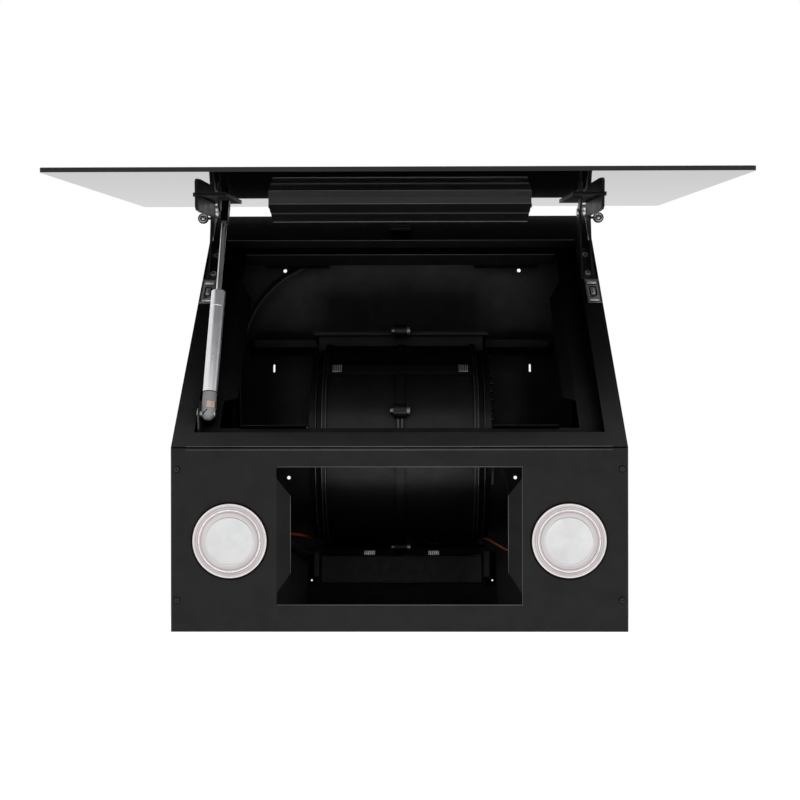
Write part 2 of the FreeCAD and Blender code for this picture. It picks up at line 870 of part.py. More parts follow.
def lower_panel():
    """The front panel with the lower filter opening and the two lamp holes."""
    body = new_body("lower_panel", LOWER)
    top = lower_length - s.seam_gap
    shoulder = lower_length - s.seam_land
    outline = [
        (-inner_half, 0),
        (inner_half, 0),
        (inner_half, shoulder),
        (s.seam_half, shoulder),
        (s.seam_half, top),
        (-s.seam_half, top),
        (-s.seam_half, shoulder),
        (-inner_half, shoulder),
    ]
    high = lower_length - s.lower_opening_top_margin
    loops = [outline, rectangle(-s.lower_opening_half, s.lower_opening_half, s.lower_opening_low, high)]
    screw_high = lower_length - s.panel_screw_drop
    for side in (-1, 1):
        loops.append(circle(side * s.lamp_half, lower_length - s.lamp_drop, s.lamp_hole_radius))
        for place in (screw_high, screw_high - s.panel_screw_pitch):
            loops.append(circle(side * s.panel_screw_half, place, s.panel_hole_radius))
    pad(body, loops, -s.sheet, s.sheet)
    fold = rectangle(-s.seam_half, s.seam_half, top - s.sheet, top)
    pad(body, [fold], -s.flange_depth, s.flange_depth - s.sheet * HALF)
    span = (s.lower_opening_low + s.lower_flap_margin, high - s.lower_flap_margin)
    for side in (-1, 1):
        side_flap(body, side, s.lower_opening_half, span, s.lower_flap_width)


def panel_screws():
    """The four screws that hold the front panel."""
    high = lower_length - s.panel_screw_drop
    made = []
    for side in (-1, 1):
        for place in (high, high - s.panel_screw_pitch):
            frame = shifted(LOWER, side * s.panel_screw_half, place, 0)
            made.append(screw("panel_screw_%d" % len(made), frame, s.screw_length, s.screw_radius,
                              s.panel_head_radius, s.screw_head_height))
    group("panel_screws", made)


# Lamps

def lamps():
    """Each lamp: a ridged ring, a frosted lens and the can behind it."""
    for name, side in (("left", -1), ("right", 1)):
        frame = shifted(LOWER, side * s.lamp_half, lower_length - s.lamp_drop, 0)
        bezel = new_body("lamp_ring_" + name, frame)
        bore = s.lens_radius + s.touch_gap
        ridge = s.bezel_ridge_radius
        spin(bezel, [
            (bore, -s.bezel_collar_depth),
            (s.bezel_collar_radius, -s.bezel_collar_depth),
            (s.bezel_collar_radius, 0),
            (s.bezel_radius, 0),
            (s.bezel_radius, s.bezel_rim),
            (s.bezel_radius - s.bezel_rim, s.bezel_rim + s.bezel_rim * HALF),
            (ridge + s.bezel_rim, s.bezel_rim + s.bezel_rim * HALF),
            (ridge, s.bezel_ridge + s.bezel_rim * HALF),
            (ridge - s.bezel_rim, s.bezel_ridge),
            (bore + s.bezel_rim, s.bezel_rim),
            (bore, s.bezel_rim),
        ])
        lens = new_body("lamp_lens_" + name, frame)
        low = -s.bezel_collar_depth
        spin(lens, [
            (0, low),
            (s.lens_radius, low),
            (s.lens_radius, low + s.lens_thickness),
            (s.lens_radius, s.bezel_rim - s.lens_seat),
            (s.lens_radius * LENS_FLAT_SHARE, s.bezel_rim - s.lens_seat + s.lens_crown * HALF),
            (0, s.bezel_rim - s.lens_seat + s.lens_crown),
        ])
        can = new_body("lamp_can_" + name, frame)
        spin(can, [
            (0, low - s.lamp_can_depth),
            (s.lamp_can_radius - s.bezel_rim, low - s.lamp_can_depth),
            (s.lamp_can_radius, low - s.lamp_can_depth + s.bezel_rim),
            (s.lamp_can_radius, low),
            (0, low),
        ])


# Fan

def bolt_seats():
    """Where the seam bolts sit, in the fan's own frame: round the drum and in front of its box."""
    seats = [FreeCAD.Placement(vector(-s.front_lug, s.collar_height, 0), FreeCAD.Rotation())]
    for angle in LUG_ANGLES:
        turn = FreeCAD.Placement(FreeCAD.Vector(), FreeCAD.Rotation(AXIS_Z, angle))
        seats.append(shifted(turn, 0, s.drum_radius + s.bolt_head_radius + s.touch_gap, 0))
    return seats


def scroll_half(name, side):
    """Half of the fan housing: drum wall, stepped cheek with its inlet, and the box back to the outlet."""
    body = new_body(name, FAN)
    wall = s.scroll_wall
    drum = s.drum_radius
    rim_end = s.drum_half + s.rim_width
    seam = drum + s.seam_height
    outer = [
        (0, 0),
        (seam, 0),
        (seam, side * s.seam_half),
        (drum, side * s.seam_half),
        (drum, side * s.drum_half),
        (s.rim_radius, side * s.drum_half),
        (s.rim_radius, side * rim_end),
        (s.rim_inner_radius, side * rim_end),
        (s.rim_inner_radius - wall, side * s.cheek_half),
        (0, side * s.cheek_half),
    ]
    spin(body, outer)
    start = as_size(0) if side > 0 else -s.collar_half
    back = s.fan_back - s.sheet - s.touch_gap
    block = rectangle(-s.collar_front, back, -s.box_drop, s.collar_height)
    pad(body, [block], start, s.collar_half)
    flange_start = as_size(0) if side > 0 else -s.collar_half - s.collar_flange
    flange = rectangle(-s.collar_front - s.collar_flange, back, s.collar_height - s.collar_flange_thickness,
                       s.collar_height)
    pad(body, [flange], flange_start, s.collar_half + s.collar_flange)
    lug_start = as_size(0) if side > 0 else -s.lug_half
    for seat in bolt_seats():
        pad(body, [circle(0, 0, s.lug_radius)], lug_start, s.lug_half, seat=seat)
    inner = [
        (0, 0),
        (drum - wall, 0),
        (drum - wall, side * (s.drum_half + wall)),
        (s.rim_inner_radius - wall, side * (rim_end - wall)),
        (s.rim_inner_radius - 2 * wall, side * (s.cheek_half - wall)),
        (s.inlet_radius, side * (s.cheek_half - wall)),
        (s.inlet_radius, side * (s.cheek_half + s.overrun)),
        (0, side * (s.cheek_half + s.overrun)),
    ]
    spin(body, inner, "Groove")
    channel = [
        (-s.collar_front + wall, 0),
        (drum - 2 * wall, 0),
        (drum - 2 * wall, wall - s.box_drop),
        (back + s.overrun, wall - s.box_drop),
        (back + s.overrun, s.collar_height - wall),
        (-s.collar_front + wall, s.collar_height - wall),
    ]
    channel_start = as_size(0) if side > 0 else -s.collar_half + wall
    cut(body, [channel], channel_start, s.collar_half - wall)
    for seat in bolt_seats():
        hole = [circle(0, 0, s.bolt_radius + s.touch_gap)]
        cut(body, hole, lug_start - s.overrun, s.lug_half + 2 * s.overrun, seat=seat)


def scroll_bolts():
    """The bolts that pull the two halves of the housing together."""
    made = []
    for seat in bolt_seats():
        frame = shifted(FAN.multiply(seat), 0, 0, s.lug_half)
        length = 2 * s.lug_half + s.bolt_head_height
        made.append(screw("scroll_bolt_%d" % len(made), frame, length, s.bolt_radius, s.bolt_head_radius,
                          s.bolt_head_height))
    group("scroll_bolts", made)


def joint_strip():
    """The strip across the drum and the spring clips at its ends."""
    frame = turned(FAN, AXIS_Z, STRIP_ANGLE)
    strip = new_body("joint_strip", frame)
    half = s.strip_half
    band = rectangle(-s.strip_width / 2, s.strip_width / 2, s.drum_radius, s.drum_radius + s.strip_height)
    pad(strip, [band], -half, 2 * half)
    reach = s.seam_half + s.touch_gap
    notch_top = s.drum_radius + s.seam_height + s.touch_gap
    notch = rectangle(-s.strip_width, s.strip_width, s.drum_radius - s.overrun, notch_top)
    cut(strip, [notch], -reach, 2 * reach)
    made = []
    for side in (-1, 1):
        middle = side * (half - s.clip_width)
        clip = doc.addObject("Part::Box", "strip_clip_%d" % len(made))
        bind(clip, "Length", s.strip_width)
        bind(clip, "Width", s.clip_thickness)
        bind(clip, "Height", s.clip_width)
        seat = s.drum_radius + s.strip_height
        clip.Placement = shifted(frame, -s.strip_width / 2, seat, middle - s.clip_width / 2)
        made.append(clip)
    group("strip_clips", made)


def impeller():
    """The double-inlet wheel: forward-curved blades between two rings, round a middle plate and hub."""
    body = new_body("impeller", FAN)
    ring_low = s.impeller_half - s.impeller_ring
    hub_plate = circle(0, 0, s.impeller_inner_radius + s.impeller_ring)
    pad(body, [hub_plate], -s.hub_thickness / 2, s.hub_thickness)
    pad(body, [circle(0, 0, s.hub_radius)], -s.hub_half, 2 * s.hub_half)
    span = s.impeller_radius - s.impeller_inner_radius
    lean = span * BLADE_SWEEP_SHARE
    inner = s.impeller_inner_radius + s.blade_thickness
    outer = s.impeller_radius - s.blade_thickness
    blade = [
        (inner, 0),
        (inner + span * HALF, lean * BLADE_BOW_SHARE),
        (outer, lean),
        (outer, lean + s.blade_thickness),
        (inner + span * HALF, lean * BLADE_BOW_SHARE + s.blade_thickness),
        (inner, s.blade_thickness),
    ]
    feature = pad(body, [blade], -s.impeller_half, 2 * s.impeller_half)
    pattern = body.newObject("PartDesign::PolarPattern", "blades")
    pattern.Originals = [feature]
    pattern.Axis = ([item for item in body.Origin.OriginFeatures if item.Role == "Z_Axis"][0], [""])
    pattern.Angle = 360.0
    pattern.Occurrences = BLADES
    body.Tip = pattern
    doc.recompute()
    for start in (-s.impeller_half, ring_low):
        ring = [circle(0, 0, s.impeller_radius), circle(0, 0, s.impeller_inner_radius)]
        pad(body, ring, start, s.impeller_ring)
    cut(body, [circle(0, 0, s.shaft_radius)], -s.hub_half - s.overrun, 2 * s.hub_half + 2 * s.overrun)


def motor():
    """The motor beside the wheel's middle plate, its shaft and the three-armed bracket at the right inlet."""
    start = s.hub_half + s.motor_gap
    body = new_body("motor", FAN)
    end = start + s.motor_length
    spin(body, [
        (s.shaft_radius + s.running_gap, start),
        (s.motor_radius - s.motor_gap, start),
        (s.motor_radius, start + s.motor_gap),
        (s.motor_radius, end),
        (s.motor_cap_radius, end),
        (s.motor_cap_radius, end + s.motor_cap_length),
        (s.shaft_radius + s.running_gap, end + s.motor_cap_length),
    ])
    shaft = new_body("motor_shaft", FAN)
    pad(shaft, [circle(0, 0, s.shaft_radius)], -s.hub_half, end + s.motor_cap_length + s.hub_half)
    bracket = new_body("motor_bracket", FAN)
    plate = s.cheek_half
    reach = s.inlet_radius + s.arm_width
    seat_hole = circle(0, 0, s.motor_cap_radius + s.touch_gap)
    pad(bracket, [circle(0, 0, s.motor_cap_radius + s.arm_width), seat_hole],
        plate, s.arm_thickness)
    for turn in ARM_ANGLES:
        seat = FreeCAD.Placement(FreeCAD.Vector(), FreeCAD.Rotation(AXIS_Z, turn))
        arm = rectangle(s.motor_cap_radius + s.arm_thickness, reach, -s.arm_width / 2, s.arm_width / 2)
        pad(bracket, [arm], plate, s.arm_thickness, seat=seat)
    stand = end + s.touch_gap
    pad(bracket, [circle(0, 0, s.motor_cap_radius + s.arm_thickness), seat_hole],
        stand, plate - stand)


# Outlet

def duct_collar():
    """The round sleeve in the back panel: a socket for the duct, and the ring the dampers close on."""
    body = new_body("duct_collar", OUTLET)
    inner = s.outlet_radius
    outer = inner + s.outlet_wall
    narrow = inner - s.socket_step
    step = s.outlet_depth - s.socket_depth
    shelf = s.damper_height
    panel = s.outlet_depth - s.sheet
    spin(body, [
        (narrow, 0),
        (outer, 0),
        (outer, panel - s.outlet_flange_thickness),
        (outer + s.outlet_flange, panel - s.outlet_flange_thickness),
        (outer + s.outlet_flange, panel),
        (outer, panel),
        (outer, s.outlet_depth),
        (inner, s.outlet_depth),
        (inner, step),
        (narrow, step),
        (narrow, shelf),
        (narrow - s.damper_stop_width, shelf),
        (narrow - s.damper_stop_width, shelf - s.damper_stop_thickness),
        (narrow, shelf - s.damper_stop_thickness),
    ])


def dampers():
    """The two half-round non-return flaps on their common upright pin."""
    frame = shifted(OUTLET, 0, 0, s.damper_height + s.damper_knuckle_radius)
    pin = new_body("damper_pin", frame)
    reach = s.outlet_radius - s.socket_step - s.running_gap
    pad(pin, [circle(0, 0, s.damper_pin_radius)], -reach, 2 * reach, "YZ_Plane")
    plate_low = -s.damper_knuckle_radius + s.touch_gap
    radius = s.outlet_radius - s.damper_clearance
    for name, side in (("damper_left", -1), ("damper_right", 1)):
        body = new_body(name, frame)
        pad(body, [circle(0, 0, radius)], plate_low, s.damper_thickness)
        keep = s.damper_knuckle_radius
        clear = sorted((-side * 2 * radius, side * keep), key=lambda size: size.number)
        cut(body, [rectangle(-radius * 2, radius * 2, clear[0], clear[1])], plate_low - s.overrun,
            s.damper_thickness + 2 * s.overrun)
        for end in (-1, 1):
            middle = end * s.damper_knuckle_half + side * (s.damper_knuckle_width / 2 + s.touch_gap)
            start = middle - s.damper_knuckle_width / 2
            ring = circle(0, 0, s.damper_knuckle_radius - s.touch_gap)
            pad(body, [ring], start, s.damper_knuckle_width, "YZ_Plane")
            web = sorted((as_size(0), side * (keep + s.damper_thickness)), key=lambda size: size.number)
            pad(body, [rectangle(start, start + s.damper_knuckle_width, web[0], web[1])], plate_low,
                s.damper_thickness)
        cut(body, [circle(0, 0, s.damper_pin_radius + s.running_gap)], -radius, 2 * radius, "YZ_Plane")


# Electronics box

def electronics():
    """The control housing on the back wall, its lid and two latches."""
    body = new_body("control_housing", BACK)
    depth = s.ebox_depth
    profile = [
        (s.ebox_low, s.sheet),
        (s.ebox_low, s.sheet + depth - s.ebox_bevel),
        (s.ebox_low + s.ebox_bevel, s.sheet + depth),
        (s.ebox_high - s.ebox_bevel * HALF, s.sheet + depth),
        (s.ebox_high, s.sheet + depth - s.ebox_bevel * HALF),
        (s.ebox_high, s.sheet),
    ]
    pad(body, [profile], -s.ebox_half, 2 * s.ebox_half, "YZ_Plane")
    foot = [
        (s.ebox_low, s.sheet),
        (s.ebox_low, s.sheet + depth - s.ebox_bevel),
        (s.ebox_low + s.ebox_bevel, s.sheet + depth),
        (s.ebox_foot_high, s.sheet + depth),
        (s.ebox_foot_high, s.sheet),
    ]
    pad(body, [foot], -s.ebox_foot_half, 2 * s.ebox_foot_half, "YZ_Plane")
    wall = s.scroll_wall
    hollow = rectangle(-s.ebox_half + wall, s.ebox_half - wall, s.ebox_low + wall, s.ebox_high - wall)
    cut(body, [hollow], s.sheet, depth - s.ebox_bevel - wall)
    inner = s.ebox_foot_half - wall
    foot_hollow = rectangle(-inner, inner, s.ebox_low + wall, s.ebox_foot_high - wall)
    cut(body, [foot_hollow], s.sheet, depth - s.ebox_bevel - wall)
    for side in (-1, 1):
        reach = sorted((side * s.ebox_half, side * (s.ebox_half + s.ebox_ear)), key=lambda size: size.number)
        ear = rectangle(reach[0], reach[1], s.ebox_ear_low, s.ebox_ear_high)
        hole = circle(side * s.low_hole_spacing / 2, s.low_hole_height, s.low_hole_radius)
        pad(body, [ear, hole], s.sheet, s.ebox_ear_thickness)
    front = s.sheet + depth
    lid = new_body("control_lid", BACK)
    pad(lid, [rectangle(-s.lid_half, s.lid_half, s.lid_low, s.lid_high)], front, s.lid_thickness)
    pull = rectangle(-s.pull_half, s.pull_half, s.lid_low, s.lid_low + s.pull_height)
    pad(lid, [pull], front + s.lid_thickness, s.lid_thickness)
    soften(lid, "Chamfer", s.lid_thickness * HALF, lambda edge: runs_along(edge, AXIS_X)
           and edge.Vertexes[0].Point.z > (front + s.lid_thickness * HALF).number
           and edge.Vertexes[0].Point.y > (s.lid_high - s.sheet).number)
    made = []
    for side in (-1, 1):
        latch = doc.addObject("Part::Box", "latch_%d" % len(made))
        bind(latch, "Length", s.latch_width)
        bind(latch, "Width", s.latch_height)
        bind(latch, "Height", s.latch_thickness)
        latch.Placement = shifted(BACK, side * s.latch_spacing / 2 - s.latch_width / 2, s.lid_high, front)
        made.append(latch)
    group("control_latches", made)


# Glass panel and what rides on it

def glass_panel():
    """The tempered glass with rounded corners and ground edges."""
    body = new_body("glass_panel", GLASS)
    half = s.glass_width / 2
    pad(body, [rectangle(-half, half, -s.glass_length, 0)], 0, s.glass_thickness)
    soften(body, "Fillet", s.glass_corner, lambda edge: runs_along(edge, AXIS_Z))


def touch_box():
    """The touch-control housing under the glass, its lower cover and the screws at its ends."""
    housing = new_body("touch_housing", GLASS)
    step = s.touch_front - s.touch_step_back
    pad(housing, [[
        (-s.touch_front, 0),
        (-s.touch_front, -s.touch_front_drop),
        (-step, -s.touch_step_drop),
        (-s.touch_rear, -s.touch_step_drop),
        (-s.touch_rear, 0),
    ]], -s.touch_half, 2 * s.touch_half, "YZ_Plane")
    cover = new_body("touch_cover", GLASS)
    half = s.touch_half - s.touch_cover_inset
    back = s.touch_rear + s.touch_cover_step
    pad(cover, [[
        (-step + s.touch_cover_step, -s.touch_step_drop),
        (-step + s.touch_cover_step, -s.touch_step_drop - s.touch_cover_step),
        (-back, -s.touch_cover_drop),
        (-back, -s.touch_step_drop),
    ]], -half, 2 * half, "YZ_Plane")
    made = []
    for side in (-1, 1):
        nub = doc.addObject("Part::Cylinder", "touch_screw_%d" % len(made))
        bind(nub, "Radius", s.touch_nub_radius)
        bind(nub, "Height", s.touch_nub_height)
        middle = -(s.touch_rear + step) / 2
        start = s.touch_half if side > 0 else -s.touch_half - s.touch_nub_height
        nub.Placement = shifted(GLASS, start, middle, -s.touch_front_drop).multiply(
            FreeCAD.Placement(FreeCAD.Vector(), FreeCAD.Rotation(AXIS_Y, 90)))
        made.append(nub)
    group("touch_screws", made)


def glass_brackets():
    """The folded brackets bonded under the glass: the hinge leg, the strut tab and the thin fin."""
    for name, side in (("glass_bracket_left", -1), ("glass_bracket_right", 1)):
        body = new_body(name, GLASS)
        outer = side * s.bracket_outer
        inner = side * s.bracket_inner
        plate = [
            (outer, -s.bracket_rear),
            (outer, -s.bracket_front + s.leg_corner),
            (outer - side * s.leg_corner, -s.bracket_front),
            (inner, -s.bracket_front),
            (inner, -s.bracket_rear - s.fin_length),
            (inner - side * s.fin_reach, -s.bracket_rear),
        ]
        pad(body, [plate], -s.bracket_thickness, s.bracket_thickness)
        leg = [
            (-s.bracket_front, -s.bracket_thickness * HALF),
            (-s.bracket_front, -s.leg_drop * HALF),
            (-s.bracket_front + s.leg_drop, -s.leg_drop),
            (-s.bracket_rear - s.leg_corner, -s.leg_drop),
            (-s.bracket_rear, -s.leg_drop + s.leg_corner),
            (-s.bracket_rear, -s.bracket_thickness * HALF),
        ]
        hole = circle(-s.pivot_from_rear, -s.pivot_below_glass, s.pin_radius + s.running_gap)
        pad(body, [leg, hole], side * s.leg_centre - s.leg_thickness / 2, s.leg_thickness, "YZ_Plane")
        face = s.strut_top_half + s.strut_eye_half + s.strut_tab_gap
        start = face if side > 0 else -face - s.bracket_thickness
        ball = -s.strut_top_from_rear
        tab = [
            (ball - s.strut_tab_half, -s.bracket_thickness * HALF),
            (ball - s.strut_tab_half, -s.strut_tab_drop + s.leg_corner),
            (ball - s.strut_tab_half + s.leg_corner, -s.strut_tab_drop),
            (ball + s.strut_tab_half - s.leg_corner, -s.strut_tab_drop),
            (ball + s.strut_tab_half, -s.strut_tab_drop + s.leg_corner),
            (ball + s.strut_tab_half, -s.bracket_thickness * HALF),
        ]
        pad(body, [tab], start, s.bracket_thickness, "YZ_Plane")


# Hinges

def hinge_arms():
    """The fixed arms that carry the hinge pins, each with an eye at its outer side."""
    up = pivot_up
    off = s.pivot_off_face
    root = upper_length - s.arm_root_drop
    base_high = upper_length - s.arm_base_high_drop
    boss = s.arm_boss_radius
    lean = boss * math.sqrt(HALF)
    cheek = [
        (root, s.cheek_thickness * HALF),
        (root, s.arm_root_height),
        (root + (up - root) * KNEE_SHARE, s.arm_knee_height),
        (up - lean, off + lean),
        (up + boss, off),
        (up + lean, off - lean),
        (base_high, s.cheek_thickness * HALF),
    ]
    for name, side in (("hinge_arm_left", -1), ("hinge_arm_right", 1)):
        body = new_body(name, UPPER)
        across = sorted((side * s.arm_base_outer, side * s.arm_base_inner), key=lambda size: size.number)
        base = rectangle(across[0], across[1], upper_length - s.arm_base_low_drop, base_high)
        holes = [circle(side * s.hinge_screw_half, place, s.hinge_hole_radius)
                 for place in hinge_screw_places]
        pad(body, [base] + holes, 0, s.cheek_thickness)
        outer = s.arm_outer - s.cheek_thickness
        starts = (outer, s.arm_inner) if side > 0 else (-s.arm_outer, -s.arm_inner - s.cheek_thickness)
        for start in starts:
            pad(body, [cheek], start, s.cheek_thickness, "YZ_Plane")
            pad(body, [circle(up, off, boss)], start, s.cheek_thickness, "YZ_Plane")
        reach = s.arm_outer + s.overrun
        cut(body, [circle(up, off, s.pin_radius + s.running_gap)], -reach, 2 * reach, "YZ_Plane")
        eye_frame = BASE.multiply(FACING)
        eye_frame.Base = PIVOT.Base + vector(side * s.eye_side, 0, -s.eye_offset)
        seat = UPPER.inverse().multiply(eye_frame)
        neck_end = side * (s.arm_outer - s.eye_side - s.cheek_thickness * HALF)
        neck_start = -side * (s.eye_radius + s.eye_hole_radius) / 2
        neck = sorted((neck_end, neck_start), key=lambda size: size.number)
        pad(body, [circle(0, 0, s.eye_radius), circle(0, 0, s.eye_hole_radius)], -s.eye_thickness / 2,
            s.eye_thickness, seat=seat)
        pad(body, [rectangle(neck[0], neck[1], -s.eye_neck_half, s.eye_neck_half)], -s.eye_thickness / 2,
            s.eye_thickness, seat=seat)


def hinge_plates():
    """The nickel-plated mounting plates below the arms."""
    for name, side in (("hinge_plate_left", -1), ("hinge_plate_right", 1)):
        body = new_body(name, UPPER)
        across = sorted((side * s.plate_outer, side * s.plate_inner), key=lambda size: size.number)
        low = upper_length - s.plate_low_drop
        high = upper_length - s.plate_high_drop
        pad(body, [rectangle(across[0], across[1], low, high)], 0, s.plate_thickness)
        middle = (across[0] + across[1]) / 2
        for place in (low + s.plate_rib * 3, high - s.plate_rib * 3):
            rib = rectangle(middle - s.plate_rib * 3, middle + s.plate_rib * 3, place - s.plate_rib,
                            place + s.plate_rib)
            pad(body, [rib], s.plate_thickness * HALF, s.plate_rib)


def hinge_fasteners():
    """The hinge pins with their heads and the screws through the arms' feet."""
    pins = []
    for side in (-1, 1):
        name = "hinge_pin_%d" % len(pins)
        frame = PIVOT.multiply(SIDEWAYS)
        low = s.arm_inner if side > 0 else -s.arm_outer
        parts = []
        lengths = (
            (s.pin_radius, low, s.arm_outer - s.arm_inner),
            (s.pin_head_radius, low - s.pin_head_height, s.pin_head_height),
            (s.pin_head_radius, low + s.arm_outer - s.arm_inner, s.pin_head_height),
        )
        for radius, start, length in lengths:
            piece = doc.addObject("Part::Cylinder", name + "_part")
            bind(piece, "Radius", radius)
            bind(piece, "Height", length)
            piece.Placement = shifted(frame, 0, 0, start)
            parts.append(piece)
        whole = doc.addObject("Part::MultiFuse", name)
        whole.Shapes = parts
        pins.append(whole)
    group("hinge_pins", pins)
    screws = []
    for side in (-1, 1):
        for place in hinge_screw_places:
            frame = shifted(UPPER, side * s.hinge_screw_half, place, s.cheek_thickness)
            screws.append(plain_screw("hinge_screw_%d" % len(screws), frame))
    group("hinge_screws", screws)


# Gas strut

def strut_frame():
    """The strut's own frame, from its lower stud with Z towards the upper one, and its length."""
    low = UPPER.multVec(vector(-s.strut_low_half, s.strut_low_up, s.strut_low_off))
    top = GLASS.multVec(vector(-s.strut_top_half, -s.strut_top_from_rear, -s.strut_top_below))
    along = top - low
    length = along.Length
    along.normalize()
    across = AXIS_X - along * AXIS_X.dot(along)
    across.normalize()
    return FreeCAD.Placement(low, FreeCAD.Rotation(across, along.cross(across), along, "XYZ")), length


STRUT, STRUT_LENGTH = strut_frame()


def gas_strut():
    """The gas strut: barrel, end cap with its brass ring, chromed rod and upper eye."""
    barrel = new_body("strut_cylinder", STRUT)
    radius = s.strut_barrel_radius
    groove = s.strut_barrel_end - s.strut_band
    spin(barrel, [
        (0, s.strut_barrel_start),
        (radius, s.strut_barrel_start),
        (radius, groove - s.strut_groove),
        (radius - s.strut_groove, groove),
        (radius, groove + s.strut_groove),
        (radius, s.strut_barrel_end - s.strut_groove * 2),
        (radius - s.strut_groove * 2, s.strut_barrel_end),
        (0, s.strut_barrel_end),
    ])
    cut(barrel, [circle(0, 0, s.strut_rod_radius + s.running_gap)], s.strut_bore_start,
        s.strut_barrel_end - s.strut_bore_start + s.overrun)
    cap = new_body("strut_cap", STRUT)
    wide = s.strut_cap_radius
    ring_inner = s.strut_ring_radius - s.strut_groove * 2
    ring_end = s.strut_ring_start + s.strut_ring_width
    spin(cap, [
        (0, -wide),
        (wide * HALF, -wide * SHOULDER_SHARE),
        (wide * SHOULDER_SHARE, -wide * HALF),
        (wide, 0),
        (wide, s.strut_ring_start),
        (ring_inner, s.strut_ring_start),
        (ring_inner, ring_end),
        (wide, ring_end),
        (wide, s.strut_barrel_start),
        (0, s.strut_barrel_start),
    ])
    stud_way = FreeCAD.Placement(STRUT.Base, SIDEWAYS.Rotation)
    seat = STRUT.inverse().multiply(stud_way)
    cut(cap, [circle(0, 0, s.stud_radius + s.running_gap)], -2 * wide, 4 * wide, seat=seat)
    ring = new_body("strut_ring", STRUT)
    band = [circle(0, 0, s.strut_ring_radius), circle(0, 0, ring_inner)]
    pad(ring, band, s.strut_ring_start, s.strut_ring_width)
    length = Size(STRUT_LENGTH, repr(STRUT_LENGTH))
    eye_start = length - s.strut_eye_length
    rod = new_body("strut_rod", STRUT)
    pad(rod, [circle(0, 0, s.strut_rod_radius)], s.strut_rod_start, eye_start - s.strut_rod_start)
    eye = new_body("strut_eye", STRUT)
    half = s.strut_eye_half
    wide = s.strut_eye_radius
    pad(eye, [rectangle(-wide, wide, eye_start, length)], -half, 2 * half, "YZ_Plane")
    pad(eye, [circle(0, length, wide)], -half, 2 * half, "YZ_Plane")
    socket = circle(0, length, s.strut_socket_radius * HALF)
    cut(eye, [socket], -half - s.overrun, 2 * (half + s.overrun), "YZ_Plane")


def strut_stand():
    """The lower bracket on the tray's floor and the stud that the strut turns on."""
    body = new_body("strut_stand", UPPER)
    face = s.strut_low_half + s.strut_cap_radius + s.touch_gap
    back = face + s.stand_thickness
    foot = s.recess_half - s.touch_gap
    pad(body, [rectangle(-foot, -face, s.stand_low, s.stand_high)], -s.recess_depth, s.stand_thickness)
    leg = [
        (s.stand_low, -s.recess_depth),
        (s.stand_high, -s.recess_depth),
        (s.strut_low_up + s.stand_foot, s.stand_top),
        (s.strut_low_up - s.stand_foot, s.stand_top),
    ]
    hole = circle(s.strut_low_up, s.strut_low_off, s.stud_radius)
    pad(body, [leg, hole], -back, s.stand_thickness, "YZ_Plane")
    frame = shifted(UPPER, 0, s.strut_low_up, s.strut_low_off).multiply(SIDEWAYS)
    shank = doc.addObject("Part::Cylinder", "stud_shank")
    bind(shank, "Radius", s.stud_radius)
    bind(shank, "Height", back - s.strut_low_half + s.strut_cap_radius)
    shank.Placement = shifted(frame, 0, 0, -back)
    head = doc.addObject("Part::Cylinder", "stud_head")
    bind(head, "Radius", s.stud_flange_radius)
    bind(head, "Height", s.stand_thickness)
    head.Placement = shifted(frame, 0, 0, -back - s.stand_thickness)
    whole = doc.addObject("Part::Fuse", "strut_stud")
    whole.Label = "strut_stud"
    whole.Base = head
    whole.Tool = shank
    finished.append(whole)


# Cable and wires

def bent_path(points, radius):
    """Straight runs joined by tangent arcs, each as large as its two runs allow. Prints the tightest bend."""
    edges = []
    start = points[0]
    bends = []
    for before, corner, after in zip(points, points[1:], points[2:]):
        back = before - corner
        ahead = after - corner
        turn = math.pi - back.getAngle(ahead)
        reach = BEND_SHARE * min(back.Length, ahead.Length)
        bends.append(reach / math.tan(turn / 2))
        back.normalize()
        ahead.normalize()
        first = corner + back * reach
        last = corner + ahead * reach
        middle_way = (back + ahead).normalize()
        centre_gap = bends[-1] / math.cos(turn / 2)
        middle = corner + middle_way * (centre_gap - bends[-1])
        edges.append(Part.LineSegment(start, first).toShape())
        edges.append(Part.Arc(first, middle, last).toShape())
        start = last
    edges.append(Part.LineSegment(start, points[-1]).toShape())
    print("bends of a tube of radius %.1f: %s" % (radius, ", ".join("%.0f" % bend for bend in bends)))
    return Part.Wire(edges)


def tube(label, points, radius):
    """A round tube along a bent path, as one solid."""
    path = bent_path(points, radius.number)
    way = points[1] - points[0]
    ring = Part.Wire([Part.Circle(points[0], way, radius.number).toShape()])
    solid = path.makePipeShell([ring], True, False)
    expected = path.Length * math.pi * radius.number ** 2
    if abs(solid.Volume - expected) > expected * VOLUME_SHARE:
        raise ValueError("the tube of %s has a wrong volume" % label)
    feature = doc.addObject("Part::Feature", label)
    feature.Label = label
    feature.Shape = solid
    finished.append(feature)
    return feature


def terminal():
    """The mains terminal under the top sheet and its gland on top."""
    body = new_body("terminal_box", BASE)
    top = s.body_height - s.sheet
    pad(body, [rectangle(-s.terminal_outer, -s.terminal_inner, -s.terminal_front, -s.terminal_back)],
        top - s.terminal_drop, s.terminal_drop)
    gland = new_body("mains_gland", shifted(BASE, -s.gland_side, -s.gland_back, s.body_height))
    spin(gland, [
        (s.gland_bore_radius, 0),
        (s.gland_nut_radius, 0),
        (s.gland_nut_radius, s.gland_nut_height),
        (s.gland_radius, s.gland_nut_height),
        (s.gland_radius, s.gland_height - s.gland_nut_height),
        (s.gland_radius - s.gland_bore_radius * HALF, s.gland_height),
        (s.gland_bore_radius, s.gland_height),
    ])


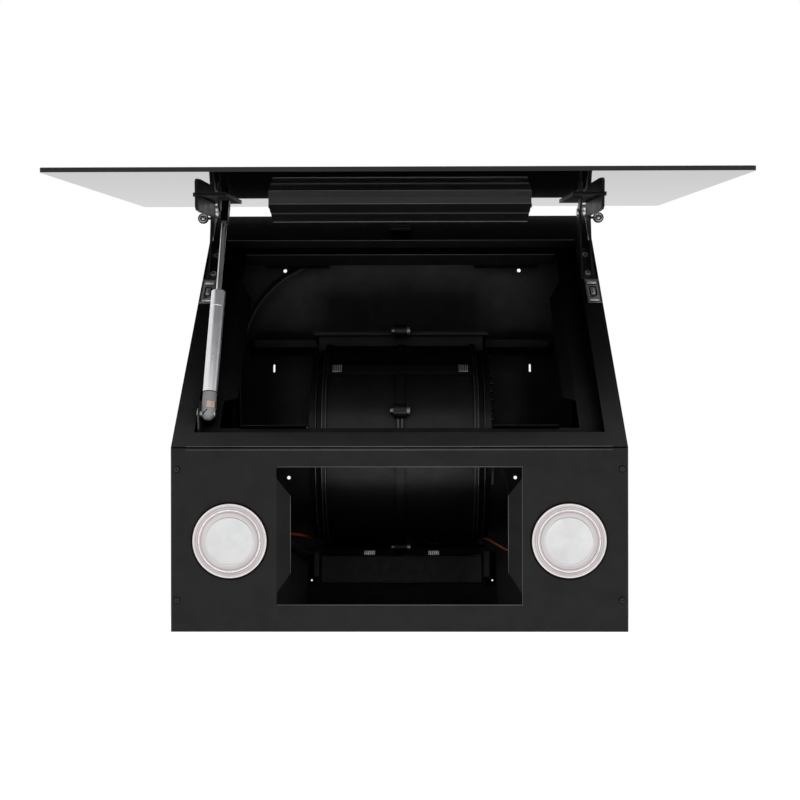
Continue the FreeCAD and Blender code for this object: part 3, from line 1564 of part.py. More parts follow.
def mains_cable():
    """The black cable from the terminal down the back wall and the left side to the control housing."""
    back = -s.cable_back
    points = [(-s.terminal_outer, s.body_height - s.sheet - s.terminal_drop * HALF)]
    points += [(across * s.ledge_half, up * s.body_height) for across, up in CABLE_SHARES]
    points.append((-s.ebox_half, CABLE_SHARES[-1][1] * s.body_height))
    tube("mains_cable", [BASE.multVec(vector(x, back, z)) for x, z in points], s.cable_radius)


def lamp_wires():
    """The wires from the lamps to the control housing."""
    across, mouth, above = LAMP_MOUTH_SHARES
    edge = -s.sheet - s.ebox_depth * mouth
    inside = WIRE_MOUTH_SHARES[0]
    entry = -s.sheet - s.ebox_depth * WIRE_MOUTH_SHARES[1]
    for (label, shares), side in zip(LAMP_WIRE_SHARES.items(), (-1, 1)):
        depth = s.bezel_collar_depth + s.lamp_can_depth
        can = shifted(LOWER, side * s.lamp_half, lower_length - s.lamp_drop, -depth)
        points = [can.Base, can.multVec(vector(0, 0, -s.lamp_can_depth))]
        route = [(side * s.lamp_half * out, -s.bottom_depth * back, s.ebox_high * rise)
                 for out, back, rise in shares]
        route.append((side * s.ebox_half * across, edge, s.ebox_high * above))
        route.append((side * s.ebox_half * inside, entry, s.ebox_high + s.lamp_wire_radius))
        points += [BASE.multVec(vector(*place)) for place in route]
        tube(label, points, s.lamp_wire_radius)


def motor_wire():
    """The grey wire from the motor's end to the control housing."""
    start = s.hub_half + s.motor_gap + s.motor_length + s.motor_cap_length
    drop = s.fan_height - s.motor_cap_radius * MOTOR_WIRE_DROP_SHARE
    entry = -s.sheet - s.ebox_depth * WIRE_MOUTH_SHARES[1]
    across = s.ebox_half * MOTOR_WIRE_MOUTH_SHARE
    route = [(start, -s.fan_back, drop), (start + s.arm_width, -s.fan_back, drop)]
    for out, back, rise in MOTOR_WIRE_SHARES:
        route.append((s.ebox_half * out, -s.fan_back * back, s.fan_height * rise))
    route += [(across, entry, s.ebox_high * WIRE_MOUTH_SHARES[2]), (across, entry, s.ebox_high)]
    tube("motor_wire", [BASE.multVec(vector(*place)) for place in route], s.wire_radius)


# Build, check and write

def check_and_write():
    """Checks every feature and every sub-part, then writes one file for each sub-part."""
    doc.recompute()
    for item in doc.Objects:
        if "Invalid" in item.State or "Error" in item.State:
            raise ValueError("%s failed: %s" % (item.Name, item.State))
    os.makedirs("parts", exist_ok=True)
    for item in finished:
        shape = item.Shape
        if shape.isNull() or not shape.isValid() or not shape.Solids:
            raise ValueError("%s has no valid solid" % item.Label)
        shape.exportStep(os.path.join("parts", item.Label + ".step"))
        box = shape.BoundBox
        size = (box.XMin, box.XMax, box.YMin, box.YMax, box.ZMin, box.ZMax)
        print("%-22s %d solids, %.0f mm3" % (item.Label, len(shape.Solids), shape.Volume))
        print("    x %.1f..%.1f y %.1f..%.1f z %.1f..%.1f" % size)


for build in (side_panels, back_panel, top_panel, bottom_panel, rear_ledge, hanging_tabs, upper_frame,
              frame_stop, lower_panel, panel_screws, lamps):
    build()
for side_name, side_sign in (("scroll_left", -1), ("scroll_right", 1)):
    scroll_half(side_name, side_sign)
for build in (scroll_bolts, joint_strip, impeller, motor, duct_collar, dampers, electronics, glass_panel,
              touch_box, glass_brackets, hinge_arms, hinge_plates, hinge_fasteners, gas_strut, strut_stand,
              terminal, mains_cable, lamp_wires, motor_wire):
    build()
check_and_write()
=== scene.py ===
import json
import math

import bmesh
import bpy
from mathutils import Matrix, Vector


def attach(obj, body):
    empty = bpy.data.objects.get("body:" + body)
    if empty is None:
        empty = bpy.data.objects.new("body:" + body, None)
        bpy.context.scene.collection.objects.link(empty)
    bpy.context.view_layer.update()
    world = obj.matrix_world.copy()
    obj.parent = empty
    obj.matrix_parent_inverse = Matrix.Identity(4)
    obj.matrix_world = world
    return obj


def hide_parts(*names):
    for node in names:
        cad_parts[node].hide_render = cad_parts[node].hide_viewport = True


# The looks of the wall hood: camera, studio, materials and the detail pieces.
# Metres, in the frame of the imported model. Places on the faces are in millimetres.

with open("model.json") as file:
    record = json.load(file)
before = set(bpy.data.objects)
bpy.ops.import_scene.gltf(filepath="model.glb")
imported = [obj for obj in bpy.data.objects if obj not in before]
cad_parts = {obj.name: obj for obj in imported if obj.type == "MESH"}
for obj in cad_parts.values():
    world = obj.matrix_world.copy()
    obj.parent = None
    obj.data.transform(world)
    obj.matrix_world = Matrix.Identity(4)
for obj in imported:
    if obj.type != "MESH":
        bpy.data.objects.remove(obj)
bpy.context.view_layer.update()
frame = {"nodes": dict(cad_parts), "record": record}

# Camera, solved from the outline of the body and the glass
CAMERA_PLACE = (0.011, -1.5347, -0.4153)
CAMERA_PITCH = 9.0
CAMERA_YAW = 0.506
CAMERA_LENS = 54.0
SENSOR_WIDTH = 36.0

# Studio: the floor, and how strongly the floor and the world light the hood and show themselves
FLOOR_LEVEL = -1.35
FLOOR_REACH = 40.0
FLOOR_FILL = 0.1
FLOOR_GLOW = 0.9
WORLD_FILL = 0.14

# Surfaces: the depth of their grain and how far their roughness varies
GRAIN_DEPTH = 0.00012
ROUGH_VARIES = 0.06

# The slope of the lifted glass panel
GLASS_SLOPE = math.radians(14.04)


def aim_camera():
    """Places the camera where the photograph was taken from."""
    data = bpy.data.cameras.new("camera")
    data.lens = CAMERA_LENS
    data.sensor_width = SENSOR_WIDTH
    camera = bpy.data.objects.new("camera", data)
    camera.location = CAMERA_PLACE
    camera.rotation_euler = (math.radians(90 + CAMERA_PITCH), 0, math.radians(CAMERA_YAW))
    bpy.context.scene.collection.objects.link(camera)
    bpy.context.scene.camera = camera


aim_camera()


# Nodes

class Nodes:
    """Short ways to make and join the nodes of one material."""

    def __init__(self, tree):
        self.tree = tree

    def make(self, kind, **settings):
        """A new node with the given settings."""
        node = self.tree.nodes.new("ShaderNode" + kind)
        for name, value in settings.items():
            setattr(node, name, value)
        return node

    def join(self, out, into):
        """Links an output to an input."""
        self.tree.links.new(out, into)

    def noise(self, scale, detail=3.0):
        """Noise over the piece, from 0 to 1."""
        where = self.make("TexCoord")
        node = self.make("TexNoise")
        node.inputs["Scale"].default_value = scale
        node.inputs["Detail"].default_value = detail
        self.join(where.outputs["Object"], node.inputs["Vector"])
        return node.outputs["Fac"]

    def spread(self, value, low, high, start=0.3, end=0.7):
        """The value stretched from between start and end to between low and high."""
        node = self.make("MapRange")
        node.inputs["From Min"].default_value = start
        node.inputs["From Max"].default_value = end
        node.inputs["To Min"].default_value = low
        node.inputs["To Max"].default_value = high
        self.join(value, node.inputs["Value"])
        return node.outputs["Result"]

    def blend(self, value, first, second):
        """A colour between two, by the value."""
        node = self.make("Mix", data_type="RGBA")
        node.inputs[6].default_value = (*first, 1.0)
        node.inputs[7].default_value = (*second, 1.0)
        self.join(value, node.inputs["Factor"])
        return node.outputs[2]

    def product(self, first, second):
        """Two values multiplied."""
        node = self.make("Math", operation="MULTIPLY")
        self.join(first, node.inputs[0])
        self.join(second, node.inputs[1])
        return node.outputs[0]

    def shelter(self, reach):
        """How open a place is to its surroundings, from 0 in a deep corner to 1 on a free face."""
        node = self.make("AmbientOcclusion", samples=6)
        node.inputs["Distance"].default_value = reach
        return node.outputs["AO"]

    def bump(self, height, strength, depth):
        """The normal of a face raised by the height."""
        node = self.make("Bump")
        node.inputs["Strength"].default_value = strength
        node.inputs["Distance"].default_value = depth
        self.join(height, node.inputs["Height"])
        return node.outputs["Normal"]


# Materials

def new_material(name):
    """An empty material with its nodes and its shader."""
    material = bpy.data.materials.new(name)
    material.use_nodes = True
    nodes = Nodes(material.node_tree)
    return material, nodes, material.node_tree.nodes["Principled BSDF"]


def grey(level):
    """A colour without a tint."""
    return (level, level, level)


def scaled(color, factor):
    """A colour made lighter or darker."""
    return tuple(min(1.0, part * factor) for part in color)


def roughen(nodes, shader, rough, patches, grain, grain_strength=0.2):
    """Gives a surface uneven gloss, in patches, and a fine grain."""
    gloss = nodes.spread(nodes.noise(patches), rough - ROUGH_VARIES, rough + ROUGH_VARIES)
    nodes.join(gloss, shader.inputs["Roughness"])
    raised = nodes.bump(nodes.noise(grain, detail=2.0), grain_strength, GRAIN_DEPTH)
    nodes.join(raised, shader.inputs["Normal"])


def surface(name, color, rough, metallic=0.0, specular=0.5, mottle=0.15, mottle_scale=40.0, grain=1500.0,
            grain_strength=0.2):
    """A painted, moulded or metal surface: mottled colour, uneven gloss and a fine grain."""
    material, nodes, shader = new_material(name)
    cloudy = nodes.spread(nodes.noise(mottle_scale, detail=4.0), low=0.0, high=1.0)
    tint = nodes.blend(cloudy, scaled(color, 1 - mottle), scaled(color, 1 + mottle))
    nodes.join(tint, shader.inputs["Base Color"])
    roughen(nodes, shader, rough, mottle_scale * 3, grain, grain_strength)
    shader.inputs["Metallic"].default_value = metallic
    shader.inputs["Specular IOR Level"].default_value = specular
    return material


def coat(name, color, rough, specular, reach, darkest, closed=0.25, free=0.9):
    """A dark coat or plastic with painted shade: ambient occlusion darkens its colour and specular in
    sheltered places, and they stay full on its free faces.
    """
    material, nodes, shader = new_material(name)
    # painted shade: ambient occlusion darkens the colour and the specular in sheltered places
    painted_shade_share = nodes.spread(nodes.shelter(reach), low=darkest, high=1.0, start=closed, end=free)
    cloudy = nodes.spread(nodes.noise(40.0, detail=4.0), low=0.88, high=1.12)
    painted_shade_tone = nodes.product(painted_shade_share, cloudy)
    nodes.join(nodes.blend(painted_shade_tone, grey(0.0), color), shader.inputs["Base Color"])
    shader.inputs["Specular IOR Level"].default_value = specular
    shine = nodes.spread(painted_shade_tone, low=0.0, high=specular, start=0.0, end=1.0)
    nodes.join(shine, shader.inputs["Specular IOR Level"])
    roughen(nodes, shader, rough, patches=120.0, grain=1800.0)
    return material


def glass_material():
    """Opaque black glass: mirror-smooth faces with the faintest smears, and duller ground edges."""
    material, nodes, shader = new_material("black_glass")
    where = nodes.make("TexCoord")
    facing = nodes.make("VectorMath", operation="DOT_PRODUCT")
    facing.inputs[1].default_value = (0.0, -math.sin(GLASS_SLOPE), math.cos(GLASS_SLOPE))
    nodes.join(where.outputs["Normal"], facing.inputs[0])
    flat = nodes.make("Math", operation="ABSOLUTE")
    nodes.join(facing.outputs["Value"], flat.inputs[0])
    shine = nodes.spread(flat.outputs[0], low=0.18, high=0.5, start=0.5, end=0.95)
    smear = nodes.spread(nodes.noise(9.0, detail=5.0), low=0.004, high=0.02)
    nodes.join(smear, shader.inputs["Roughness"])
    deep = nodes.blend(nodes.noise(30.0, detail=2.0), (0.002, 0.002, 0.0022), (0.004, 0.004, 0.0045))
    nodes.join(deep, shader.inputs["Base Color"])
    shader.inputs["Specular IOR Level"].default_value = 0.5
    nodes.join(shine, shader.inputs["Specular IOR Level"])
    shader.inputs["IOR"].default_value = 1.7
    return material


def frosted_material():
    """The lamp's frosted cover: a cloudy white with a fine frost, which lets a little light in."""
    material, nodes, shader = new_material("lamp_frost")
    cloudy = nodes.spread(nodes.noise(60.0, detail=4.0), low=0.0, high=1.0)
    nodes.join(nodes.blend(cloudy, (0.43, 0.43, 0.433), grey(0.50)), shader.inputs["Base Color"])
    raised = nodes.bump(nodes.noise(2600.0), strength=0.5, depth=0.0002)
    nodes.join(raised, shader.inputs["Normal"])
    shader.inputs["Roughness"].default_value = 0.45
    shader.inputs["Subsurface Weight"].default_value = 0.3
    shader.inputs["Subsurface Scale"].default_value = 0.003
    return material


# The coats and plastics of the body, with painted shade: ambient occlusion makes them darker and duller in
# sheltered places
SHADE_PAINTED_COATS = {
    "powder_coat": dict(color=grey(0.013), rough=0.62, specular=0.24, reach=0.45, darkest=0.05,
                        closed=0.3, free=0.8),
    # panel_coat is a darker copy of powder_coat, as painted shade on the lower panel; inner_coat is a much
    # lighter copy, as painted light on the back wall; ledge_coat, on the wall's ledge, is darker than
    # inner_coat, as painted shade
    "panel_coat": dict(color=grey(0.0078), rough=0.62, specular=0.15, reach=0.3, darkest=0.05),
    "inner_coat": dict(color=(0.09, 0.09, 0.091), rough=0.62, specular=0.2, reach=0.14, darkest=0.08),
    "ledge_coat": dict(color=(0.045, 0.045, 0.0455), rough=0.62, specular=0.15, reach=0.14, darkest=0.08),
    "housing_plastic": dict(color=grey(0.012), rough=0.5, specular=0.3, reach=0.2, darkest=0.1),
    "fan_plastic": dict(color=(0.0064, 0.0064, 0.0069), rough=0.34, specular=0.3, reach=0.22, darkest=0.15),
}

# The surfaces of the small parts and the detail pieces
SURFACES = {
    "lid_plastic": dict(color=grey(0.021), rough=0.5, specular=0.3, mottle=0.04),
    "black_steel": dict(color=grey(0.008), rough=0.36, specular=0.4),
    "touch_plastic": dict(color=grey(0.008), rough=0.4, specular=0.4),
    "lamp_metal": dict(color=(0.42, 0.385, 0.39), rough=0.42, metallic=0.35, grain=700.0, mottle=0.06),
    "nickel": dict(color=grey(0.62), rough=0.42, metallic=0.9, mottle=0.25, mottle_scale=120.0),
    "bolt_steel": dict(color=grey(0.2), rough=0.45, metallic=0.85, mottle=0.25),
    "black_screw": dict(color=grey(0.008), rough=0.5, specular=0.3),
    "strut_paint": dict(color=(0.78, 0.78, 0.80), rough=0.33, metallic=0.85, mottle=0.03),
    "strut_grey": dict(color=(0.20, 0.20, 0.205), rough=0.45),
    "strut_brass": dict(color=(0.62, 0.46, 0.37), rough=0.3, metallic=0.85),
    "rod_chrome": dict(color=grey(0.55), rough=0.12, metallic=1.0, grain_strength=0.03),
    "cable_rubber": dict(color=grey(0.018), rough=0.5, specular=0.4),
    "stop_rubber": dict(color=grey(0.003), rough=0.75, specular=0.12),
    # near black, as painted shade on the tab edges under the frame
    "tab_painted_shade": dict(color=grey(0.002), rough=0.7, specular=0.1),
    "wire_red": dict(color=(0.40, 0.04, 0.02), rough=0.45),
    "wire_orange": dict(color=(0.50, 0.14, 0.03), rough=0.45),
    "wire_grey": dict(color=grey(0.03), rough=0.45),
    # lighter than the coats, as a painted highlight on the rolled sheet edges
    "painted_highlight_edge": dict(color=grey(0.045), rough=0.4, specular=0.5),
    # a light grey, as a painted highlight on the edges of the lid and the touch box
    "painted_highlight_line": dict(color=grey(0.14), rough=0.45, specular=0.4),
    # near black, as painted shade in gaps, recesses and under the ledge lip
    "painted_gap_shade": dict(color=grey(0.001), rough=0.9, specular=0.05),
    # a lighter and a darker copy of the lamp ring's metal, as painted highlight on its ridges and painted
    # shade in its grooves
    "painted_ridge_highlight": dict(color=(0.72, 0.68, 0.68), rough=0.3, metallic=0.3, mottle=0.04),
    "groove_shade": dict(color=(0.2, 0.18, 0.18), rough=0.5, mottle=0.04),
    "bracket_steel": dict(color=grey(0.004), rough=0.42, specular=0.16),
    "rim_gloss": dict(color=(0.009, 0.009, 0.0095), rough=0.22, specular=0.6),
}

MATERIALS = {"black_glass": glass_material(), "lamp_frost": frosted_material()}
MATERIALS.update({name: coat(name, **look) for name, look in SHADE_PAINTED_COATS.items()})
MATERIALS.update({name: surface(name, **look) for name, look in SURFACES.items()})

# Nodes that look different from the material slot they have in the record
OWN_LOOKS = {
    "lower_panel": "panel_coat",
    "glass_bracket_left": "bracket_steel",
    "glass_bracket_right": "bracket_steel",
    "rear_ledge": "ledge_coat",
    "control_lid": "lid_plastic",
    "frame_stop": "stop_rubber",
    "scroll_bolts": "bolt_steel",
}


def dress_nodes():
    """Gives every carried-over node the material of its slot, or its own look."""
    slots = {row["node"]: row["material_slot"] for row in frame["record"]["subparts"]}
    slots.update(OWN_LOOKS)
    for name, item in frame["nodes"].items():
        item.data.materials.clear()
        item.data.materials.append(MATERIALS[slots[name]])


dress_nodes()


# Faces of the hood

class Face:
    """A flat face of the hood: across it, up it and off it."""

    def __init__(self, origin, slope):
        self.origin = Vector(origin)
        self.rise = Vector((0, math.cos(slope), math.sin(slope)))
        self.out = Vector((0, -math.sin(slope), math.cos(slope)))

    def at(self, across, up, off):
        """The point on the face."""
        return self.origin + (Vector((1, 0, 0)) * across + self.rise * up + self.out * off) / 1000


# How far the lower panel and the sloping frame run back and rise
LOWER_BACK = -27.8
LOWER_RISE = 175.3
UPPER_BACK = 217.4
UPPER_RISE = 300.2
LOWER_LENGTH = math.hypot(LOWER_BACK, LOWER_RISE)
UPPER_LENGTH = math.hypot(UPPER_BACK, UPPER_RISE)

LOWER = Face((0, -0.360, -0.455), math.atan2(LOWER_RISE, LOWER_BACK))
UPPER = Face((0, -0.3878, -0.2797), math.atan2(UPPER_RISE, UPPER_BACK))
GLASS = Face((0, -0.183404, 0.027977), GLASS_SLOPE)
WALL = Face((0, 0, -0.455), math.radians(90))
SIDES = (-1, 1)

# Where the lamps, the screws and the hinge plates sit
LAMP_ACROSS = 163.3
LAMP_UP = LOWER_LENGTH - 90.0
PANEL_SCREW_ACROSS = 214.0
PANEL_SCREW_UPS = (LOWER_LENGTH - 21.0, LOWER_LENGTH - 147.0)
HINGE_SCREW_ACROSS = 208.5
HINGE_SCREW_UPS = (UPPER_LENGTH - 109.65, UPPER_LENGTH - 77.65)
PLATE_ACROSS = 211.25
PLATE_LOW = UPPER_LENGTH - 157.65
PLATE_HIGH = UPPER_LENGTH - 118.15

# The fan's axis, back and up, in metres
FAN_MIDDLE = (-0.1647, -0.250)

# The strut: the middle of its rounded lower end, the way it points and two ways out of it
STRUT_LOW = Vector((-0.1885, -0.3652071, -0.243217))
STRUT_WAY = Vector((0.0259019, 0.1858476, 0.9822371))
STRUT_RIGHT = (Vector((1, 0, 0)) - STRUT_WAY * STRUT_WAY.x).normalized()
STRUT_BACK = STRUT_WAY.cross(STRUT_RIGHT).normalized()


def on_drum(across, degrees, radius):
    """The point at an angle from the drum's top towards the front, in millimetres from its axis."""
    turn = math.radians(degrees)
    return Vector((across / 1000, FAN_MIDDLE[0] - math.sin(turn) * radius / 1000,
                   FAN_MIDDLE[1] + math.cos(turn) * radius / 1000))


def on_strut(degrees, radius, along):
    """The point at an angle from the strut's front towards its right, in millimetres off and along it."""
    turn = math.radians(degrees)
    way = STRUT_RIGHT * math.sin(turn) - STRUT_BACK * math.cos(turn)
    return STRUT_LOW + way * radius / 1000 + STRUT_WAY * along / 1000


# Outlines

def around(middle, half):
    """The low and the high value on both sides of a middle."""
    return (middle - half, middle + half)


def ring_round(middle, side, over, radius, count):
    """Points round a middle, from one direction towards another."""
    points = []
    for step in range(count):
        turn = 2 * math.pi * step / count
        points.append(middle + (side * math.cos(turn) + over * math.sin(turn)) * radius / 1000)
    return points


def circle_on(face, across, up, off, radius, count, start=0.0, sweep=360.0):
    """Points round a circle, or along part of it, on a face."""
    points = []
    steps = count if sweep >= 360.0 else count - 1
    for step in range(count):
        turn = math.radians(start + sweep * step / steps)
        points.append(face.at(across + radius * math.cos(turn), up + radius * math.sin(turn), off))
    return points


def frame_on(face, across, up, off, corner):
    """Points round a rectangle with rounded corners on a face."""
    points = []
    for right, top, start in ((1, 1, 0), (0, 1, 90), (0, 0, 180), (1, 0, 270)):
        middle = (across[right] + (-corner if right else corner), up[top] + (-corner if top else corner))
        for step in range(5):
            turn = math.radians(start + 22.5 * step)
            x = middle[0] + corner * math.cos(turn)
            y = middle[1] + corner * math.sin(turn)
            points.append(face.at(x, y, off))
    return points


# Shells: the corners and the faces of one closed shape

def loft(rings, closed=False):
    """Rings of corners joined one to the next, with the ends covered or joined to each other."""
    count = len(rings)
    sides = len(rings[0])
    corners = [corner for ring in rings for corner in ring]
    faces = []
    for index in range(count if closed else count - 1):
        start = index * sides
        ahead = (index + 1) % count * sides
        for step in range(sides):
            after = (step + 1) % sides
            faces.append((start + step, start + after, ahead + after, ahead + step))
    if not closed:
        faces.append(tuple(reversed(range(sides))))
        faces.append(tuple(range((count - 1) * sides, count * sides)))
    return corners, faces


def bead(points, radius, sides=8, closed=False):
    """A round bead along the points."""
    rings = []
    count = len(points)
    side = (points[1] - points[0]).orthogonal()
    for index, point in enumerate(points):
        before = points[index - 1] if index or closed else point
        after = points[(index + 1) % count] if index + 1 < count or closed else point
        along = (after - before).normalized()
        side = (side - along * side.dot(along)).normalized()
        rings.append(ring_round(point, side, along.cross(side), radius, sides))
    return loft(rings, closed)


def bead_on(face, places, radius):
    """A round bead along places on a face."""
    return bead([face.at(*place) for place in places], radius)


def rail(face, across, up, off, radius):
    """A straight bead across a face."""
    return bead_on(face, [(place, up, off) for place in across], radius)


def hoop(face, across, up, off, radius, wide, count=72):
    """A bead bent to a circle on a face; wide is the bead's own radius."""
    return bead(circle_on(face, across, up, off, radius, count), wide, closed=True)


def drum_arc(across, angles, radius, wide):
    """A bead that follows the drum at one place across it."""
    return bead([on_drum(across, angle, radius) for angle in angles], wide)


def drum_peg(across, angle, radius, wide, sides=8):
    """A straight bead along the drum's axis."""
    return bead([on_drum(place, angle, radius) for place in across], wide, sides)


def tube(start, end, inner, outer):
    """A straight tube between two points."""
    side = (end - start).orthogonal().normalized()
    over = (end - start).normalized().cross(side)
    walls = ((start, inner), (start, outer), (end, outer), (end, inner))
    return loft([ring_round(point, side, over, radius, count=20) for point, radius in walls], closed=True)


def bar(face, across, up, off):
    """A small block on a face, between the low and high value of each pair, its outer edges bevelled."""
    wide = min(across[1] - across[0], up[1] - up[0])
    inset = min(0.2 * wide, 0.6 * (off[1] - off[0]))
    rings = []
    for level, shrink in ((off[0], 0.0), (off[1] - inset, 0.0), (off[1], inset)):
        left = across[0] + shrink
        right = across[1] - shrink
        low = up[0] + shrink
        high = up[1] - shrink
        places = ((left, low), (right, low), (right, high), (left, high))
        rings.append([face.at(x, y, level) for x, y in places])
    return loft(rings)


def plate(face, outline, low, high):
    """A flat sheet along a face, between two levels; its outline is across and up the face."""
    return loft([[face.at(across, up, level) for across, up in outline] for level in (low, high)])


def fin(face, outline, inner, outer):
    """A flat sheet that stands on a face, between two places across it; its outline is up and off it."""
    return loft([[face.at(across, up, off) for up, off in outline] for across in (inner, outer)])


def piece(name, body, shells, material, smooth=True):
    """One object from several closed shells, which rides on a body."""
    corners = []
    faces = []
    for shell_corners, shell_faces in shells:
        start = len(corners)
        corners.extend(tuple(corner) for corner in shell_corners)
        faces.extend(tuple(start + index for index in face) for face in shell_faces)
    mesh = bpy.data.meshes.new(name)
    mesh.from_pydata(corners, [], faces)
    mesh.validate()
    shape = bmesh.new()
    shape.from_mesh(mesh)
    bmesh.ops.recalc_face_normals(shape, faces=shape.faces)
    shape.to_mesh(mesh)
    shape.free()
    for polygon in mesh.polygons:
        polygon.use_smooth = smooth
    mesh.materials.append(MATERIALS[material])
    item = bpy.data.objects.new(name, mesh)
    bpy.context.scene.collection.objects.link(item)
    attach(item, body)
    return item


# Detail pieces on the sheets

def sheet_edges():
    """The rolled edges of the sheets as round beads in a grey lighter than the coats, a painted highlight:
    seam, tray, bays, ledge and flaps.
    """
    bay_low = 25.8
    bay_high = LOWER_LENGTH - 18.8
    bay = [(-118, bay_low, -0.1), (118.4, bay_low, -0.1), (118.4, bay_high, -0.1), (-118, bay_high, -0.1)]
    shells = [
        rail(LOWER, around(0, 205.5), LOWER_LENGTH - 2.5, off=-0.05, radius=0.45),
        rail(UPPER, around(0, 205.5), 1.2, off=-0.05, radius=0.45),
        rail(UPPER, around(0, 200), UPPER_LENGTH - 46.45, off=-0.1, radius=0.4),
        rail(UPPER, around(0, 178), UPPER_LENGTH - 59.25, off=-11.0, radius=0.45),
        rail(WALL, around(0, 190), 352.5, off=44.5, radius=0.5),
        bead_on(LOWER, bay, 0.45),
    ]
    for side in SIDES:
        shells.append(bead_on(LOWER, [(side * 106.0, up, -12.2) for up in (54.5, LOWER_LENGTH - 47.5)], 0.4))
    piece("sheet_edges", "carcass", shells, "painted_highlight_edge")


def painted_screw_marks():
    """Painted shade and a painted glint on each panel screw: a black ring as the shadow gap, black bars as
    the shaded cross recess, and a nickel arc as the glint.
    """
    cross = (1.3, 1.65)
    dark = []
    bright = []
    for side in SIDES:
        across = side * PANEL_SCREW_ACROSS
        for up in PANEL_SCREW_UPS:
            dark.append(hoop(LOWER, across, up, off=0.1, radius=2.6, wide=0.3, count=24))
            dark.append(bar(LOWER, around(across, 1.5), around(up, 0.3), cross))
            dark.append(bar(LOWER, around(across, 0.3), around(up, 1.5), cross))
            glint = circle_on(LOWER, across, up, off=1.4, radius=2.0, count=8, start=20.0, sweep=60.0)
            bright.append(bead(glint, 0.2))
    piece("painted_screw_marks", "carcass", dark, "painted_gap_shade")
    piece("screw_painted_glints", "carcass", bright, "nickel")


def hole_rims():
    """The rubber rims in the lower fixing holes of the wall."""
    holes = around(0, 114.0)
    shells = [hoop(WALL, across, 52.0, off=0.9, radius=1.8, wide=0.75, count=32) for across in holes]
    piece("hole_rims", "carcass", shells, "stop_rubber")


def ledge_shadow():
    """The shadow under the lip of the rear ledge, left and right of the drum."""
    shells = [rail(WALL, pair, 342.2, off=45.2, radius=0.8) for pair in ((-190, -97), (97, 190))]
    piece("ledge_shadow", "carcass", shells, "painted_gap_shade")


def ledge_rivets():
    """The heads of the two rivets in the rear ledge."""
    shells = [bar(WALL, around(middle, 2.5), (347.0, 349.4), (44.9, 46.2)) for middle in (-23.0, 26.0)]
    piece("ledge_rivets", "carcass", shells, "nickel")


def tab_edges():
    """The turned-down edges of the hanging tabs: near-black plates, as painted shade for the edges in the
    shadow under the frame.
    """
    outline = ((94.0, 458.0), (94.0, 451.6), (174.5, 451.6), (180.5, 458.0))
    shells = []
    for side in SIDES:
        shells.append(plate(WALL, [(side * across, up) for across, up in outline], 24.05, 24.95))
    piece("tab_edges", "carcass", shells, "tab_painted_shade", smooth=False)


# Lamps

def lamp_shade_rings():
    """A thin black ring round each lamp ring, as the painted shadow of the gap round it."""
    shells = [hoop(LOWER, side * LAMP_ACROSS, LAMP_UP, off=0.6, radius=36.2, wide=0.9) for side in SIDES]
    piece("lamp_shade_rings", "carcass", shells, "painted_gap_shade")


def lamp_ridges():
    """Painted highlight and shade on each lamp ring: light beads on its ridges and darker ones in its fine
    grooves; and the soft rim round its lens.
    """
    bright = []
    dark = []
    soft = []
    for side in SIDES:
        middle = (side * LAMP_ACROSS, LAMP_UP)
        bright.append(hoop(LOWER, *middle, off=2.9, radius=29.6, wide=0.55))
        bright.append(hoop(LOWER, *middle, off=1.6, radius=34.9, wide=0.35))
        dark.append(hoop(LOWER, *middle, off=1.75, radius=32.6, wide=0.25))
        dark.append(hoop(LOWER, *middle, off=2.2, radius=27.6, wide=0.3))
        soft.append(hoop(LOWER, *middle, off=0.7, radius=23.7, wide=0.6))
    piece("lamp_ridges", "carcass", bright, "painted_ridge_highlight")
    piece("lamp_grooves", "carcass", dark, "groove_shade")
    piece("lens_rims", "carcass", soft, "lamp_frost")


# Hinges and brackets

def plate_ridges(middle):
    """The raised tongue of one nickel plate and the three ridges above it."""
    shells = [bar(UPPER, around(middle, 1.6), (PLATE_LOW + 13.6, PLATE_HIGH - 16.6), (0.9, 2.0))]
    for step in range(3):
        shells.append(rail(UPPER, around(middle, 5), PLATE_HIGH - 8.0 + step * 1.1, off=1.3, radius=0.3))
    return shells


def plate_recess_shade(middle):
    """Painted shade in the stamped border, window and two lines of one nickel plate: black beads and bars.
    """
    line = (0.9, 1.35)
    border = frame_on(UPPER, around(middle, 6.6), (PLATE_LOW + 0.8, PLATE_HIGH - 0.8), off=1.2, corner=1.0)
    window = frame_on(UPPER, around(middle, 3.4), (PLATE_LOW + 11.0, PLATE_HIGH - 14.0), off=1.2, corner=1.2)
    return [
        bead(border, 0.35, closed=True),
        bead(window, 0.7, closed=True),
        bar(UPPER, around(middle, 5.4), (PLATE_HIGH - 10.6, PLATE_HIGH - 9.0), line),
        bar(UPPER, (middle - 5.4, middle + 0.8), (PLATE_LOW + 8.2, PLATE_LOW + 9.4), line),
    ]


def star_recess_shade(across, up):
    """Painted shade on one hinge screw: black bars as its star recess, and a black ring as the shadow gap
    round its head.
    """
    ray = 1.7
    ray_off = 3.5
    shells = []
    for degrees in (0, 60, 120):
        x = ray * math.cos(math.radians(degrees))
        y = ray * math.sin(math.radians(degrees))
        shells.append(bead_on(UPPER, [(across - x, up - y, ray_off), (across + x, up + y, ray_off)], 0.35))
    shells.append(hoop(UPPER, across, up, off=2.1, radius=3.6, wide=0.3, count=24))
    return shells


def hinge_details():
    """The stamped pattern of the nickel plates, and painted shade in their recesses and in the star recesses
    of the hinge screws.
    """
    stamped = []
    dark = []
    for side in SIDES:
        stamped.extend(plate_ridges(side * PLATE_ACROSS))
        dark.extend(plate_recess_shade(side * PLATE_ACROSS))
        for up in HINGE_SCREW_UPS:
            dark.extend(star_recess_shade(side * HINGE_SCREW_ACROSS, up))
    piece("hinge_stamping", "carcass", stamped, "nickel")
    piece("hinge_recess_shade", "carcass", dark, "painted_gap_shade")


